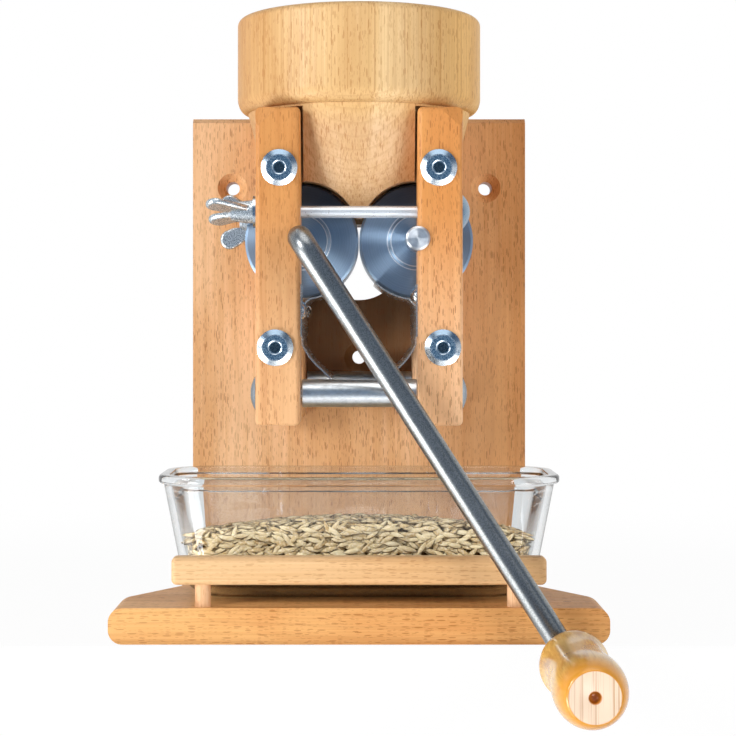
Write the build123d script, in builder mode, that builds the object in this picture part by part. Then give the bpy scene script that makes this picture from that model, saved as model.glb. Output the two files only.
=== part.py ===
from build123d import *
import os
from math import cos, radians, sin, tan

os.makedirs("parts", exist_ok=True)

# Hand crank grain flaker: two steel rollers between four wooden posts, a wooden hopper above,
# a glass dish below, all carried by a base board and an upright back board.
# Frame: X to the right, Y from the front edge towards the back board, Z up, millimetres.
# Origin: centre of the base board's underside.

# ---- Clearances -----------------------------------------------------------------------------
running_fit = 0.05          # radial, a shaft or pin in its bore
cheek_play = 0.3            # the left cheek against all that stays still
thrust_play = 0.3           # a roller's boss against the posts
seat_gap = 0.1              # radial, a fixed bolt in its hole

overcut = 1                 # a cut's run past the face it leaves by
same_face = 1               # slack with which edges and faces are picked by their place

# ---- Height of the rollers' axes, from which most heights are taken --------------------------
roller_axis_z = 200.6

# ---- Stack from the front edge to the back --------------------------------------------------
post_depth = 26             # front to back, of each post
roller_space = 64           # between the front and the rear posts
board_thick = 20
base_depth = 2 * post_depth + roller_space + board_thick
front_y = -base_depth / 2
front_post_back = front_y + post_depth
rear_post_front = front_post_back + roller_space
board_front = rear_post_front + post_depth
board_back = board_front + board_thick
front_rod_y = front_y + post_depth / 2
rear_rod_y = rear_post_front + post_depth / 2
board_mid = (board_front + board_back) / 2
cheek_mid = (front_y + board_front) / 2

# ---- Base board -----------------------------------------------------------------------------
base_width = 248
base_thick = 18
base_waist = 197            # width beside the back board
base_side = 42              # straight side, measured from the front edge
base_taper = 44             # length of the slant from the full width to the waist
base_edge_round = 7         # bullnose of the two sides
base_corner_round = 14

# ---- Back board -----------------------------------------------------------------------------
board_width = 185
board_rise = 72.4           # top edge, above the rollers' axes
board_top = roller_axis_z + board_rise
board_bevel = 2.5
window_diameter = 48        # round hole behind the rollers
window_drop = 4.6           # its centre, below the rollers' axes
window_z = roller_axis_z - window_drop
wall_hole_diameter = 7.5
wall_sink_diameter = 16.5
wall_sink_angle = 90
wall_hole_spacing = 141
wall_hole_inset = 38.6      # the upper pair, below the top edge
wall_hole_z = board_top - wall_hole_inset
low_wall_hole_drop = 56     # the third one, below the window's centre
low_wall_hole_z = window_z - low_wall_hole_drop

# ---- Posts ----------------------------------------------------------------------------------
post_inner = 29.1           # inner face, from the middle plane
post_width = 22.2
post_outer = post_inner + post_width
post_drop = 92.6            # bottom end, below the rollers' axes
post_bottom = roller_axis_z - post_drop
post_rise = 65.1            # top end, above the rollers' axes
post_top = roller_axis_z + post_rise
post_round = 2.5
post_end_round = 2.3
post_facet_width = 12       # sanded flat on the outer top corner of a front post
post_facet_height = 11
post_facet_depth = 4

# ---- Rollers and their shafts ---------------------------------------------------------------
roller_axis_x = post_inner
roller_gap = 0.3            # nip between the two rollers at rest
roller_radius = roller_axis_x - roller_gap / 2
roller_length = 60
roller_rim = 1.2            # chamfer of the rim
boss_radius = 14.4          # raised face around the shaft
boss_bevel = 1.3
boss_height = 1.1
thrust_radius = 7.6         # small collar that meets the posts
shaft_diameter = 12
shaft_bevel = 1
shaft_rear_gap = 2          # shaft end to the back board
shaft_front_reach = 2.4     # driven shaft, in front of the posts
key_width = 4
key_height = 4
key_length = 40
key_sunk = 2.3              # depth of the key's seat in the shaft

# ---- Crank ----------------------------------------------------------------------------------
crank_radius = 245
crank_angle = 32.7          # from straight down towards the right
crank_offset = 14           # arm's centre line, in front of the posts
crank_bend = 8              # centre line radius of the two elbows
grip_rear_offset = 23       # grip's rear face, in front of the posts
spindle_length = 66         # inside the grip
grip_length = 80
grip_flange_radius = 17
grip_flange_thick = 7
grip_flange_edge = 1        # how far the flange falls away at its rear edge
grip_flange_lip = 1.2       # and at its front edge
grip_waist_radius = 12.4
grip_waist_at = 24
grip_bulge_radius = 16.7
grip_bulge_at = 64
grip_end_radius = 12
grip_end_round = 1
grip_hole_diameter = 5.5
ring_wire = 1.2             # spring ring that holds the grip on its spindle
ring_from_end = 12
ring_play = 0.3

# ---- Frame bolts through posts, hopper and back board ---------------------------------------
bolt_diameter = 6
cap_diameter = 18
cap_thick = 2.5
cap_rim_height = 1
cap_face_diameter = 13
socket_width = 5            # hexagon, across its flats
socket_depth = 1.8
upper_bolt_x = 39.4
upper_bolt_rise = 34.9      # above the rollers' axes
upper_bolt_z = roller_axis_z + upper_bolt_rise
lower_bolt_x = 41.4
lower_bolt_drop = 54        # below the rollers' axes
lower_bolt_z = roller_axis_z - lower_bolt_drop
swing_room = 1.75           # radial, the upper bolt in a post that swings
cross_room = 0.6            # radial, a cross rod or its bolt in a post
sleeve_diameter = 9         # sleeve nut in the back board
sleeve_length = 14
sleeve_sunk = 0.3
bolt_tip_gap = 5            # bolt's tip to the back board's rear face
spacer_diameter = 12        # tube around each lower bolt

# ---- Cross rods between the cheeks ----------------------------------------------------------
spacer_rod_diameter = 14
spacer_rod_drop = 76.9      # below the rollers' axes
spacer_rod_z = roller_axis_z - spacer_rod_drop
rear_spacer_rise = 2        # rear rod above the front one
rear_spacer_z = spacer_rod_z + rear_spacer_rise
spacer_rod_bevel = 0.5
spacer_rod_room = 0.5       # rod's left end to the left posts, taken up as they swing
rod_cap_thick = 2.8
rod_thread_depth = 20
rod_bolt_tip_gap = 2
clamp_rod_diameter = 6
clamp_rod_rise = 13.8       # above the rollers' axes
clamp_rod_z = roller_axis_z + clamp_rod_rise
clamp_head_diameter = 18
clamp_head_thick = 4.2
washer_diameter = 16
washer_thick = 1.6
nut_room = 0.45             # radial, wing nut on its rod
nut_hub_diameter = 12
nut_hub_end_diameter = 9.5
nut_hub_length = 11
nut_wing_thick = 3.2
nut_wing_round = 1.4
nut_wing_root = 4           # radius of the wing's root lobe
nut_lobe_radius = 5.3       # rounded end of a wing
nut_lobe_reach = 9.6        # lobe's centre from the rod's axis
nut_lobe_rise = 17.8        # lobe's centre above the nut's seat
nut_turn_room = 0.8         # turning wings, to the back board
clamp_rod_end = 12.5        # rod's end beyond the washer
front_nut_turn = 70.5       # wings, from upright
rear_nut_turn = 0
rear_clamp_y = board_front - nut_turn_room - nut_lobe_reach - nut_lobe_radius

# ---- Hopper ---------------------------------------------------------------------------------
post_head_gap = 1.3         # above the posts and the back board
post_side_gap = 1.1
post_notch_top = post_top + post_head_gap
hopper_radius = 63.5
drum_height = 49.3
drum_rise = 1               # drum's underside, above the post notches' tops
hopper_skirt_z = post_notch_top + drum_rise
hopper_top = hopper_skirt_z + drum_height
hopper_skirt_radius = 58    # cone's upper end, where it meets the drum's underside
hopper_rim_round = 3.6
drum_heel_height = 8        # elliptic rounding below the drum's side
quarter_turn = 90
bowl_edge_round = 2
cone_height = 23
cone_foot_radius = 52.2     # cone's lower end, from which the hopper rounds in to its tip
hopper_tip_rise = 11.4      # hopper's lowest end, above the rollers' axes
hopper_tip_z = roller_axis_z + hopper_tip_rise
hopper_tip_gap = 3.3        # to the rear clamp rod
hopper_tip_radius = rear_clamp_y - clamp_rod_diameter / 2 - hopper_tip_gap - cheek_mid
bowl_mouth_radius = 55
bowl_throat_radius = 16
bowl_throat_rise = 35.4     # above the rollers' axes
bowl_throat_z = roller_axis_z + bowl_throat_rise
outlet_width = 28
outlet_length = 44
roller_cove_gap = 1         # hopper's hollows around the rollers

# ---- Scrapers -------------------------------------------------------------------------------
sheet_thick = 0.8
blade_gap = 0.45            # blade to roller
blade_tip_angle = 45        # of the blade's arc, from straight below the roller
blade_root_angle = 8
flange_x = post_inner - sheet_thick / 2
blade_root_drop = 33.1      # fold of the sheet, below the rollers' axes
blade_root_z = roller_axis_z - blade_root_drop
flange_height = 19.5
flange_foot_z = blade_root_z - flange_height
chute_mid = (4.3, 7.1)      # inwards and down, from the flange's foot
chute_knee = (9.6, 12.6)
chute_lip = (14.5, 17.3)
sheet_inset = 21            # blade's and chute's ends, from the cheek's faces
ear_inset = 4
ear_lap = 1                 # ear's run into the sheet
ear_drop = 15.5             # ear's lower end, below the fold
ear_rise = 10.5             # and its upper end, above the fold
ear_bottom_z = blade_root_z - ear_drop
ear_top_z = blade_root_z + ear_rise
left_screw_drop = 2.4       # below the fold
left_screw_z = blade_root_z - left_screw_drop
right_screw_rise = 5.1      # above the fold
right_screw_z = blade_root_z + right_screw_rise
screw_head_diameter = 9
screw_head_thick = 2.8
screw_diameter = 4
screw_length = 14
screw_inset = 10

# ---- Rail in front of the dish --------------------------------------------------------------
rail_width = 186
rail_bottom = 29
rail_height = 14
rail_depth = 11
rail_setback = 1
rail_round = 2.8
peg_diameter = 8
peg_x = 77.6
peg_in_base = 10
peg_in_rail = 8
rail_y = front_y + rail_setback + rail_depth / 2

# ---- Dish and grain -------------------------------------------------------------------------
dish_rim_width = 205
dish_rim_depth = 81.5
dish_height = 63.7
dish_front = 10             # rim, behind the base's front edge
dish_flare = 10.6           # wall from upright, degrees
dish_wall = 4
dish_lip = 1.6              # how far the rim stands out
dish_lip_height = 4.5
dish_corner = 24
dish_foot_round = 18
dish_y = front_y + dish_front + dish_rim_depth / 2
heap_radius = 420           # of the heap's rounded top
heap_peak_z = 60.5
heap_peak_back = 8          # peak, behind the dish's middle
heap_gap = 0.4

# ---- Screws that hold the back board on the base --------------------------------------------
wood_screw_diameter = 4.5
wood_screw_head = 9
wood_screw_sink_angle = 90
wood_screw_length = 50
wood_screw_tip = 3
wood_screw_spacing = 62


def facing_front(y):
    """Upright plane at depth y: X to the right, Z up, extrusions run forward."""
    return Plane.XZ.offset(-y)


def lathe_plane(x, z):
    """Plane through a turning axis that runs front to back: local x is depth, local y radius."""
    return Plane(origin=(x, 0, z), x_dir=(0, 1, 0), z_dir=(0, 0, 1))


def cross_plane(y, z):
    """Plane through a turning axis that runs left to right: local x is X, local y radius."""
    return Plane(origin=(0, y, z), x_dir=(1, 0, 0), z_dir=(0, -1, 0))


def finish(builder, name):
    """Label a finished piece and write it as one STEP file."""
    builder.part.label = name
    export_step(builder.part, f"parts/{name}.step")


# ---- Base board: waisted plan, rounded sides, sharp front and back edges ---------------------
with BuildPart() as base_board:
    half_base = base_width / 2
    half_waist = base_waist / 2
    taper_y = front_y + base_side
    waist_y = taper_y + base_taper
    with BuildSketch() as base_plan:
        with BuildLine():
            Polyline(
                (-half_base, front_y), (half_base, front_y), (half_base, taper_y),
                (half_waist, waist_y), (half_waist, board_back), (-half_waist, board_back),
                (-half_waist, waist_y), (-half_base, taper_y), close=True,
            )
        make_face()
        fillet(base_plan.vertices().group_by(Axis.Y)[1:3], base_corner_round)
    extrude(amount=base_thick)
    base_rims = base_board.faces().filter_by(Axis.Z).edges()
    side_rims = base_rims.filter_by(lambda e: abs((e @ 0.5).Y) < base_depth / 2 - same_face)
    fillet(side_rims, base_edge_round)
    with BuildSketch(Plane.XY.offset(base_thick)):
        with Locations((-peg_x, rail_y), (peg_x, rail_y)):
            Circle(peg_diameter / 2)
    extrude(amount=-peg_in_base, mode=Mode.SUBTRACT)
    with Locations(Plane(origin=(0, board_mid, 0), x_dir=(1, 0, 0), z_dir=(0, 0, -1))):
        with GridLocations(wood_screw_spacing, 0, 3, 1):
            CounterSinkHole(
                wood_screw_diameter / 2, wood_screw_head / 2,
                counter_sink_angle=wood_screw_sink_angle,
            )
finish(base_board, "base_board")

# ---- Back board: wall holes, window and seats for the sleeve nuts ----------------------------
frame_bolt_places = [
    (-upper_bolt_x, upper_bolt_z), (upper_bolt_x, upper_bolt_z),
    (-lower_bolt_x, lower_bolt_z), (lower_bolt_x, lower_bolt_z),
]
with BuildPart() as back_board:
    with BuildSketch(facing_front(board_back)):
        with Locations((0, base_thick)):
            Rectangle(board_width, board_top - base_thick, align=(Align.CENTER, Align.MIN))
    extrude(amount=board_thick)
    board_rims = back_board.faces().filter_by(Axis.Y).edges().filter_by(Axis.X)
    chamfer(board_rims.group_by(Axis.Z)[-1], board_bevel)
    with BuildSketch(facing_front(board_back)):
        with Locations((0, window_z)):
            Circle(window_diameter / 2)
        with Locations(*frame_bolt_places):
            Circle(sleeve_diameter / 2 + seat_gap)
    extrude(amount=board_thick, mode=Mode.SUBTRACT)
    with BuildSketch(facing_front(board_back)):
        with Locations(*frame_bolt_places):
            Circle(cap_diameter / 2 + seat_gap)
    extrude(amount=cap_thick + sleeve_sunk, mode=Mode.SUBTRACT)
    with BuildSketch(Plane.XY.offset(base_thick)):
        with Locations((0, board_mid)):
            with GridLocations(wood_screw_spacing, 0, 3, 1):
                Circle(wood_screw_diameter / 2)
    extrude(amount=wood_screw_length - base_thick, mode=Mode.SUBTRACT)
    wall_hole_places = [
        (-wall_hole_spacing / 2, wall_hole_z), (wall_hole_spacing / 2, wall_hole_z),
        (0, low_wall_hole_z),
    ]
    with Locations(facing_front(board_front)):
        with Locations(*wall_hole_places):
            CounterSinkHole(
                wall_hole_diameter / 2, wall_sink_diameter / 2, depth=board_thick,
                counter_sink_angle=wall_sink_angle,
            )
finish(back_board, "back_board")


# ---- Posts: half-round shaft notch, bolt holes and cross rod holes ---------------------------
def build_post(name, side, front, back, clamp_y, spacer_y, spacer_z, facet):
    """One post. side is -1 on the left and 1 on the right; facet sands its outer top corner."""
    with BuildPart() as post:
        with BuildSketch(facing_front(back)):
            with Locations((side * (post_inner + post_outer) / 2, post_bottom)):
                Rectangle(post_width, post_top - post_bottom, align=(Align.CENTER, Align.MIN))
        extrude(amount=back - front)
        fillet(post.edges().filter_by(Axis.Z), post_round)
        fillet(post.faces().sort_by(Axis.Z)[-1].edges(), post_end_round)
        fillet(post.faces().sort_by(Axis.Z)[0].edges(), post_end_round)
        if facet:
            corner = (side * (post_outer - post_facet_width), front, post_top)
            lean = (side / post_facet_width, -1 / post_facet_depth, 1 / post_facet_height)
            split(bisect_by=Plane(corner, z_dir=lean), keep=Keep.BOTTOM)
        with BuildSketch(facing_front(back)):
            with Locations((side * roller_axis_x, roller_axis_z)):
                Circle(shaft_diameter / 2 + running_fit)
            with Locations((side * upper_bolt_x, upper_bolt_z)):
                Circle(bolt_diameter / 2 + swing_room)
            with Locations((side * lower_bolt_x, lower_bolt_z)):
                Circle(bolt_diameter / 2 + running_fit)
        extrude(amount=back - front, mode=Mode.SUBTRACT)
        with BuildSketch(Plane.YZ):
            with Locations((clamp_y, clamp_rod_z), (spacer_y, spacer_z)):
                Circle(clamp_rod_diameter / 2 + cross_room)
        extrude(amount=side * (post_outer + overcut), mode=Mode.SUBTRACT)
        screw_z = left_screw_z if side < 0 else right_screw_z
        screw_y = front_y + screw_inset if facet else board_front - screw_inset
        with BuildSketch(Plane.YZ.offset(side * post_inner)):
            with Locations((screw_y, screw_z)):
                Circle(screw_diameter / 2)
        extrude(amount=side * (screw_length - sheet_thick), mode=Mode.SUBTRACT)
    finish(post, name)


left_front = front_y + cheek_play
left_back = board_front - cheek_play
front_rods = (front_rod_y, front_rod_y, spacer_rod_z)
rear_rods = (rear_clamp_y, rear_rod_y, rear_spacer_z)
build_post("front_post_left", -1, left_front, front_post_back, *front_rods, True)
build_post("rear_post_left", -1, rear_post_front, left_back, *rear_rods, False)
build_post("front_post_right", 1, front_y, front_post_back, *front_rods, True)
build_post("rear_post_right", 1, rear_post_front, board_front, *rear_rods, False)

# ---- Hopper: turned drum and foot, hollowed round the rollers, notched over the posts --------
with BuildPart() as hopper:
    with BuildSketch(Plane.XZ.offset(-cheek_mid)):
        with BuildLine():
            cone_top = (hopper_skirt_radius, hopper_skirt_z)
            cone_foot = (cone_foot_radius, hopper_skirt_z - cone_height)
            tip_edge = (hopper_tip_radius, hopper_tip_z)
            cone_way = (cone_foot_radius - hopper_skirt_radius, -cone_height)
            TangentArc(cone_foot, tip_edge, tangent=cone_way)
            Polyline(
                tip_edge, (0, hopper_tip_z), (0, bowl_throat_z),
                (bowl_throat_radius, bowl_throat_z), (bowl_mouth_radius, hopper_top),
                (hopper_radius, hopper_top), (hopper_radius, hopper_skirt_z + drum_heel_height),
            )
            EllipticalCenterArc(
                (hopper_skirt_radius, hopper_skirt_z + drum_heel_height),
                hopper_radius - hopper_skirt_radius, drum_heel_height,
                start_angle=-quarter_turn, arc_size=quarter_turn,
            )
            Line(cone_top, cone_foot)
        make_face()
    revolve(axis=Axis((0, cheek_mid, 0), (0, 0, 1)))
    top_rims = hopper.edges().filter_by(GeomType.CIRCLE).group_by(Axis.Z)[-1]
    fillet(top_rims.sort_by(SortBy.RADIUS)[-1], hopper_rim_round)
    mouth_rim = hopper.edges().filter_by(GeomType.CIRCLE).group_by(Axis.Z)[-1]
    fillet(mouth_rim.sort_by(SortBy.RADIUS)[0], bowl_edge_round)
    with BuildSketch(Plane.XY.offset(hopper_tip_z)):
        with Locations((0, cheek_mid)):
            Rectangle(outlet_width, outlet_length)
    extrude(amount=hopper_skirt_z - hopper_tip_z, mode=Mode.SUBTRACT)
    with BuildSketch(facing_front(board_back)):
        with Locations((-roller_axis_x, roller_axis_z), (roller_axis_x, roller_axis_z)):
            Circle(roller_radius + roller_cove_gap)
        with Locations((-upper_bolt_x, upper_bolt_z), (upper_bolt_x, upper_bolt_z)):
            Circle(bolt_diameter / 2 + seat_gap)
    extrude(amount=base_depth, mode=Mode.SUBTRACT)
    for side, play in ((-1, cheek_play), (1, 0)):
        for y_near, y_far in (
            (front_post_back + play, front_y - hopper_radius),
            (rear_post_front - play, board_back + hopper_radius),
        ):
            with BuildSketch(Plane.XY.offset(post_notch_top)):
                with Locations((side * (post_inner - post_side_gap), y_near)):
                    Rectangle(
                        hopper_radius, abs(y_far - y_near),
                        align=(Align.MIN if side > 0 else Align.MAX,
                               Align.MIN if y_far > y_near else Align.MAX),
                    )
            extrude(amount=hopper_tip_z - post_notch_top, mode=Mode.SUBTRACT)
    with BuildSketch(Plane.XY.offset(board_top + post_head_gap)):
        with Locations((0, board_front)):
            Rectangle(board_width, board_thick, align=(Align.CENTER, Align.MIN))
    extrude(amount=hopper_tip_z - board_top, mode=Mode.SUBTRACT)
finish(hopper, "hopper")


# ---- Rollers: bossed steel drums, keyed to their shafts --------------------------------------
def build_roller(name, side):
    """A roller with chamfered rims, a bossed face at each end and a keyway in its bore."""
    x = side * roller_axis_x
    half_roller = roller_length / 2
    half_space = roller_space / 2 - thrust_play
    with BuildPart() as roller:
        with BuildSketch(lathe_plane(x, roller_axis_z)):
            with BuildLine():
                Polyline(
                    (cheek_mid, 0), (cheek_mid - half_space, 0),
                    (cheek_mid - half_space, thrust_radius),
                    (cheek_mid - half_roller - boss_height, thrust_radius),
                    (cheek_mid - half_roller - boss_height, boss_radius - boss_bevel),
                    (cheek_mid - half_roller, boss_radius),
                    (cheek_mid - half_roller, roller_radius - roller_rim),
                    (cheek_mid - half_roller + roller_rim, roller_radius),
                    (cheek_mid, roller_radius), close=True,
                )
            make_face()
            mirror(about=Plane.YZ.offset(cheek_mid))
        revolve(axis=Axis((x, 0, roller_axis_z), (0, 1, 0)))
        with BuildSketch(facing_front(cheek_mid + half_space)):
            with Locations((x, roller_axis_z)):
                Circle(shaft_diameter / 2)
                Rectangle(key_width, shaft_diameter / 2 - key_sunk + key_height,
                          align=(Align.CENTER, Align.MIN))
        extrude(amount=2 * half_space, mode=Mode.SUBTRACT)
    finish(roller, name)


def build_key(name, side):
    """The parallel key between a roller and its shaft."""
    with BuildPart() as key:
        with BuildSketch(facing_front(cheek_mid + key_length / 2)):
            with Locations((side * roller_axis_x,
                            roller_axis_z + shaft_diameter / 2 - key_sunk)):
                Rectangle(key_width, key_height, align=(Align.CENTER, Align.MIN))
        extrude(amount=key_length)
    finish(key, name)


for side, hand in ((-1, "left"), (1, "right")):
    build_roller(f"{hand}_roller", side)
    build_key(f"{hand}_roller_key", side)

# ---- Driven shaft: right roller's own shaft, its turned end in front of the post -------------
shaft_back = board_front - shaft_rear_gap
with BuildPart() as driven_shaft:
    with BuildSketch(facing_front(shaft_back)):
        with Locations((roller_axis_x, roller_axis_z)):
            Circle(shaft_diameter / 2)
    extrude(amount=shaft_back - front_y + shaft_front_reach)
    chamfer(driven_shaft.edges().filter_by(GeomType.CIRCLE), shaft_bevel)
    with BuildSketch(facing_front(cheek_mid + key_length / 2)):
        with Locations((roller_axis_x, roller_axis_z + shaft_diameter / 2 - key_sunk)):
            Rectangle(key_width, key_height, align=(Align.CENTER, Align.MIN))
    extrude(amount=key_length, mode=Mode.SUBTRACT)
finish(driven_shaft, "driven_shaft")

# ---- Crank rod: left shaft, arm and grip spindle bent from one bar ---------------------------
arm_y = front_y - crank_offset
grip_x = -roller_axis_x + crank_radius * sin(radians(crank_angle))
grip_z = roller_axis_z - crank_radius * cos(radians(crank_angle))
grip_rear = front_y - grip_rear_offset
spindle_end = grip_rear - spindle_length
with BuildPart() as crank_rod:
    with BuildLine() as crank_path:
        FilletPolyline(
            (-roller_axis_x, shaft_back, roller_axis_z), (-roller_axis_x, arm_y, roller_axis_z),
            (grip_x, arm_y, grip_z), (grip_x, spindle_end, grip_z), radius=crank_bend,
        )
    with BuildSketch(Plane((-roller_axis_x, shaft_back, roller_axis_z), z_dir=(0, -1, 0))):
        Circle(shaft_diameter / 2)
    sweep()
    rod_ends = crank_rod.edges().filter_by(GeomType.CIRCLE)
    chamfer([rod_ends.sort_by(Axis.Y)[0], rod_ends.sort_by(Axis.Y)[-1]], shaft_bevel)
    with BuildSketch(facing_front(cheek_mid + key_length / 2)):
        with Locations((-roller_axis_x, roller_axis_z + shaft_diameter / 2 - key_sunk)):
            Rectangle(key_width, key_height, align=(Align.CENTER, Align.MIN))
    extrude(amount=key_length, mode=Mode.SUBTRACT)
    with BuildSketch(facing_front(spindle_end + ring_from_end + ring_wire / 2)):
        with Locations((grip_x, grip_z)):
            Circle(shaft_diameter / 2 + ring_wire)
            Circle(shaft_diameter / 2 - ring_wire / 2, mode=Mode.SUBTRACT)
    extrude(amount=ring_wire, mode=Mode.SUBTRACT)
finish(crank_rod, "crank_rod")

# ---- Spring ring in the spindle's groove -----------------------------------------------------
grip_axis = Axis((grip_x, 0, grip_z), (0, 1, 0))
with BuildPart() as grip_ring:
    with BuildSketch(lathe_plane(grip_x, grip_z)):
        with Locations((spindle_end + ring_from_end, shaft_diameter / 2)):
            Circle(ring_wire / 2)
    revolve(axis=grip_axis)
finish(grip_ring, "grip_ring")

# ---- Crank grip: turned wood, free on the spindle --------------------------------------------
with BuildPart() as crank_grip:
    flange_front = grip_rear - grip_flange_thick
    grip_front = grip_rear - grip_length
    with BuildSketch(lathe_plane(grip_x, grip_z)):
        with BuildLine():
            Line((grip_rear, 0), (grip_rear, grip_flange_radius - grip_flange_edge))
            Spline(
                (grip_rear, grip_flange_radius - grip_flange_edge),
                (grip_rear - grip_flange_thick / 2, grip_flange_radius),
                (flange_front, grip_flange_radius - grip_flange_lip),
                (grip_rear - grip_waist_at, grip_waist_radius),
                (grip_rear - grip_bulge_at, grip_bulge_radius),
                (grip_front, grip_end_radius),
            )
            Polyline((grip_front, grip_end_radius), (grip_front, 0), (grip_rear, 0))
        make_face()
    revolve(axis=grip_axis)
    fillet(crank_grip.faces().sort_by(Axis.Y)[0].edges(), grip_end_round)
    with BuildSketch(facing_front(grip_rear)):
        with Locations((grip_x, grip_z)):
            Circle(shaft_diameter / 2 + running_fit)
    extrude(amount=spindle_length + ring_play, mode=Mode.SUBTRACT)
    with BuildSketch(facing_front(grip_rear)):
        with Locations((grip_x, grip_z)):
            Circle(grip_hole_diameter / 2)
    extrude(amount=grip_length, mode=Mode.SUBTRACT)
    with BuildSketch(facing_front(spindle_end + ring_from_end + ring_wire / 2 + ring_play)):
        with Locations((grip_x, grip_z)):
            Circle(shaft_diameter / 2 + ring_wire / 2 + ring_play)
    extrude(amount=ring_wire + 2 * ring_play, mode=Mode.SUBTRACT)
finish(crank_grip, "crank_grip")

# ---- Frame bolts, sleeve nuts and spacer tubes -----------------------------------------------
frame_bolt_length = base_depth - bolt_tip_gap
with BuildPart() as one_bolt:
    with BuildSketch(Plane.XY):
        with BuildLine():
            Polyline(
                (0, frame_bolt_length), (bolt_diameter / 2, frame_bolt_length),
                (bolt_diameter / 2, 0), (cap_diameter / 2, 0), (cap_diameter / 2, -cap_rim_height),
                (cap_face_diameter / 2, -cap_thick), (0, -cap_thick), close=True,
            )
        make_face()
    revolve(axis=Axis.Y)
    with BuildSketch(facing_front(-cap_thick)):
        RegularPolygon(socket_width / 2, 6, major_radius=False)
    extrude(amount=-socket_depth, mode=Mode.SUBTRACT)

with BuildPart() as frame_bolts:
    with Locations(*[(x, front_y, z) for x, z in frame_bolt_places]):
        add(one_bolt.part)
finish(frame_bolts, "frame_bolts")

sleeve_seat = board_back - sleeve_sunk
with BuildPart() as one_sleeve:
    with BuildSketch(Plane.XY):
        with BuildLine():
            Polyline(
                (0, 0), (cap_diameter / 2, 0), (cap_diameter / 2, -cap_thick),
                (sleeve_diameter / 2, -cap_thick),
                (sleeve_diameter / 2, -cap_thick - sleeve_length),
                (bolt_diameter / 2, -cap_thick - sleeve_length),
                (bolt_diameter / 2, sleeve_sunk - bolt_tip_gap), (0, sleeve_sunk - bolt_tip_gap),
                close=True,
            )
        make_face()
    revolve(axis=Axis.Y)
    with BuildSketch(facing_front(0)):
        RegularPolygon(socket_width / 2, 6, major_radius=False)
    extrude(amount=socket_depth, mode=Mode.SUBTRACT)

with BuildPart() as sleeve_nuts:
    with Locations(*[(x, sleeve_seat, z) for x, z in frame_bolt_places]):
        add(one_sleeve.part)
finish(sleeve_nuts, "sleeve_nuts")

for side, hand, play in ((-1, "left", cheek_play), (1, "right", 0)):
    with BuildPart() as spacer_tube:
        with BuildSketch(facing_front(rear_post_front - play)):
            with Locations((side * lower_bolt_x, lower_bolt_z)):
                Circle(spacer_diameter / 2)
                Circle(bolt_diameter / 2, mode=Mode.SUBTRACT)
        extrude(amount=roller_space - 2 * play)
    finish(spacer_tube, f"spacer_tube_{hand}")

# ---- Lower cross rods and the cap bolts in their ends ----------------------------------------
for place, rod_y, rod_z in (
    ("front", front_rod_y, spacer_rod_z), ("rear", rear_rod_y, rear_spacer_z),
):
    with BuildPart() as spacer_rod:
        with BuildSketch(Plane.YZ.offset(post_inner)):
            with Locations((rod_y, rod_z)):
                Circle(spacer_rod_diameter / 2)
        extrude(amount=spacer_rod_room - 2 * post_inner)
        chamfer(spacer_rod.edges().filter_by(GeomType.CIRCLE), spacer_rod_bevel)
        for end, inward in ((post_inner, -1), (spacer_rod_room - post_inner, 1)):
            with BuildSketch(Plane.YZ.offset(end)):
                with Locations((rod_y, rod_z)):
                    Circle(bolt_diameter / 2)
            extrude(amount=inward * rod_thread_depth, mode=Mode.SUBTRACT)
    finish(spacer_rod, f"spacer_rod_{place}")

with BuildPart() as one_rod_bolt:
    rod_bolt_length = post_width + rod_thread_depth - rod_bolt_tip_gap
    with BuildSketch(Plane.XZ):
        with BuildLine():
            cap_top = (rod_cap_thick, 0)
            cap_edge = (0, cap_diameter / 2)
            Polyline(
                cap_top, (-rod_bolt_length, 0), (-rod_bolt_length, bolt_diameter / 2),
                (0, bolt_diameter / 2), cap_edge,
            )
            TangentArc(cap_top, cap_edge, tangent=(0, 1))
        make_face()
    revolve(axis=Axis.X)
    with BuildSketch(Plane.YZ.offset(rod_cap_thick)):
        RegularPolygon(socket_width / 2, 6, major_radius=False)
    extrude(amount=-socket_depth, mode=Mode.SUBTRACT)

with BuildPart() as rod_bolts:
    with Locations(
        Location((post_outer, front_rod_y, spacer_rod_z)),
        Location((post_outer, rear_rod_y, rear_spacer_z)),
        Location((-post_outer - cheek_play, front_rod_y, spacer_rod_z), (0, 0, 180)),
        Location((-post_outer - cheek_play, rear_rod_y, rear_spacer_z), (0, 0, 180)),
    ):
        add(one_rod_bolt.part)
finish(rod_bolts, "rod_bolts")

# ---- Clamp rods: domed head on the right, thread end on the left -----------------------------
washer_face = -post_outer - washer_thick
for place, rod_y in (("front", front_rod_y), ("rear", rear_clamp_y)):
    with BuildPart() as clamp_rod:
        with BuildSketch(cross_plane(rod_y, clamp_rod_z)):
            with BuildLine():
                head_top = (post_outer + clamp_head_thick, 0)
                head_edge = (post_outer, clamp_head_diameter / 2)
                Polyline(
                    head_top, (washer_face - clamp_rod_end, 0),
                    (washer_face - clamp_rod_end, clamp_rod_diameter / 2),
                    (post_outer, clamp_rod_diameter / 2), head_edge,
                )
                TangentArc(head_top, head_edge, tangent=(0, 1))
            make_face()
        revolve(axis=Axis((0, rod_y, clamp_rod_z), (1, 0, 0)))
    finish(clamp_rod, f"clamp_rod_{place}")

with BuildPart() as clamp_washers:
    with BuildSketch(Plane.YZ.offset(-post_outer)):
        with Locations((front_rod_y, clamp_rod_z), (rear_clamp_y, clamp_rod_z)):
            Circle(washer_diameter / 2)
            Circle(clamp_rod_diameter / 2 + cross_room, mode=Mode.SUBTRACT)
    extrude(amount=-washer_thick)
finish(clamp_washers, "clamp_washers")


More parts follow.
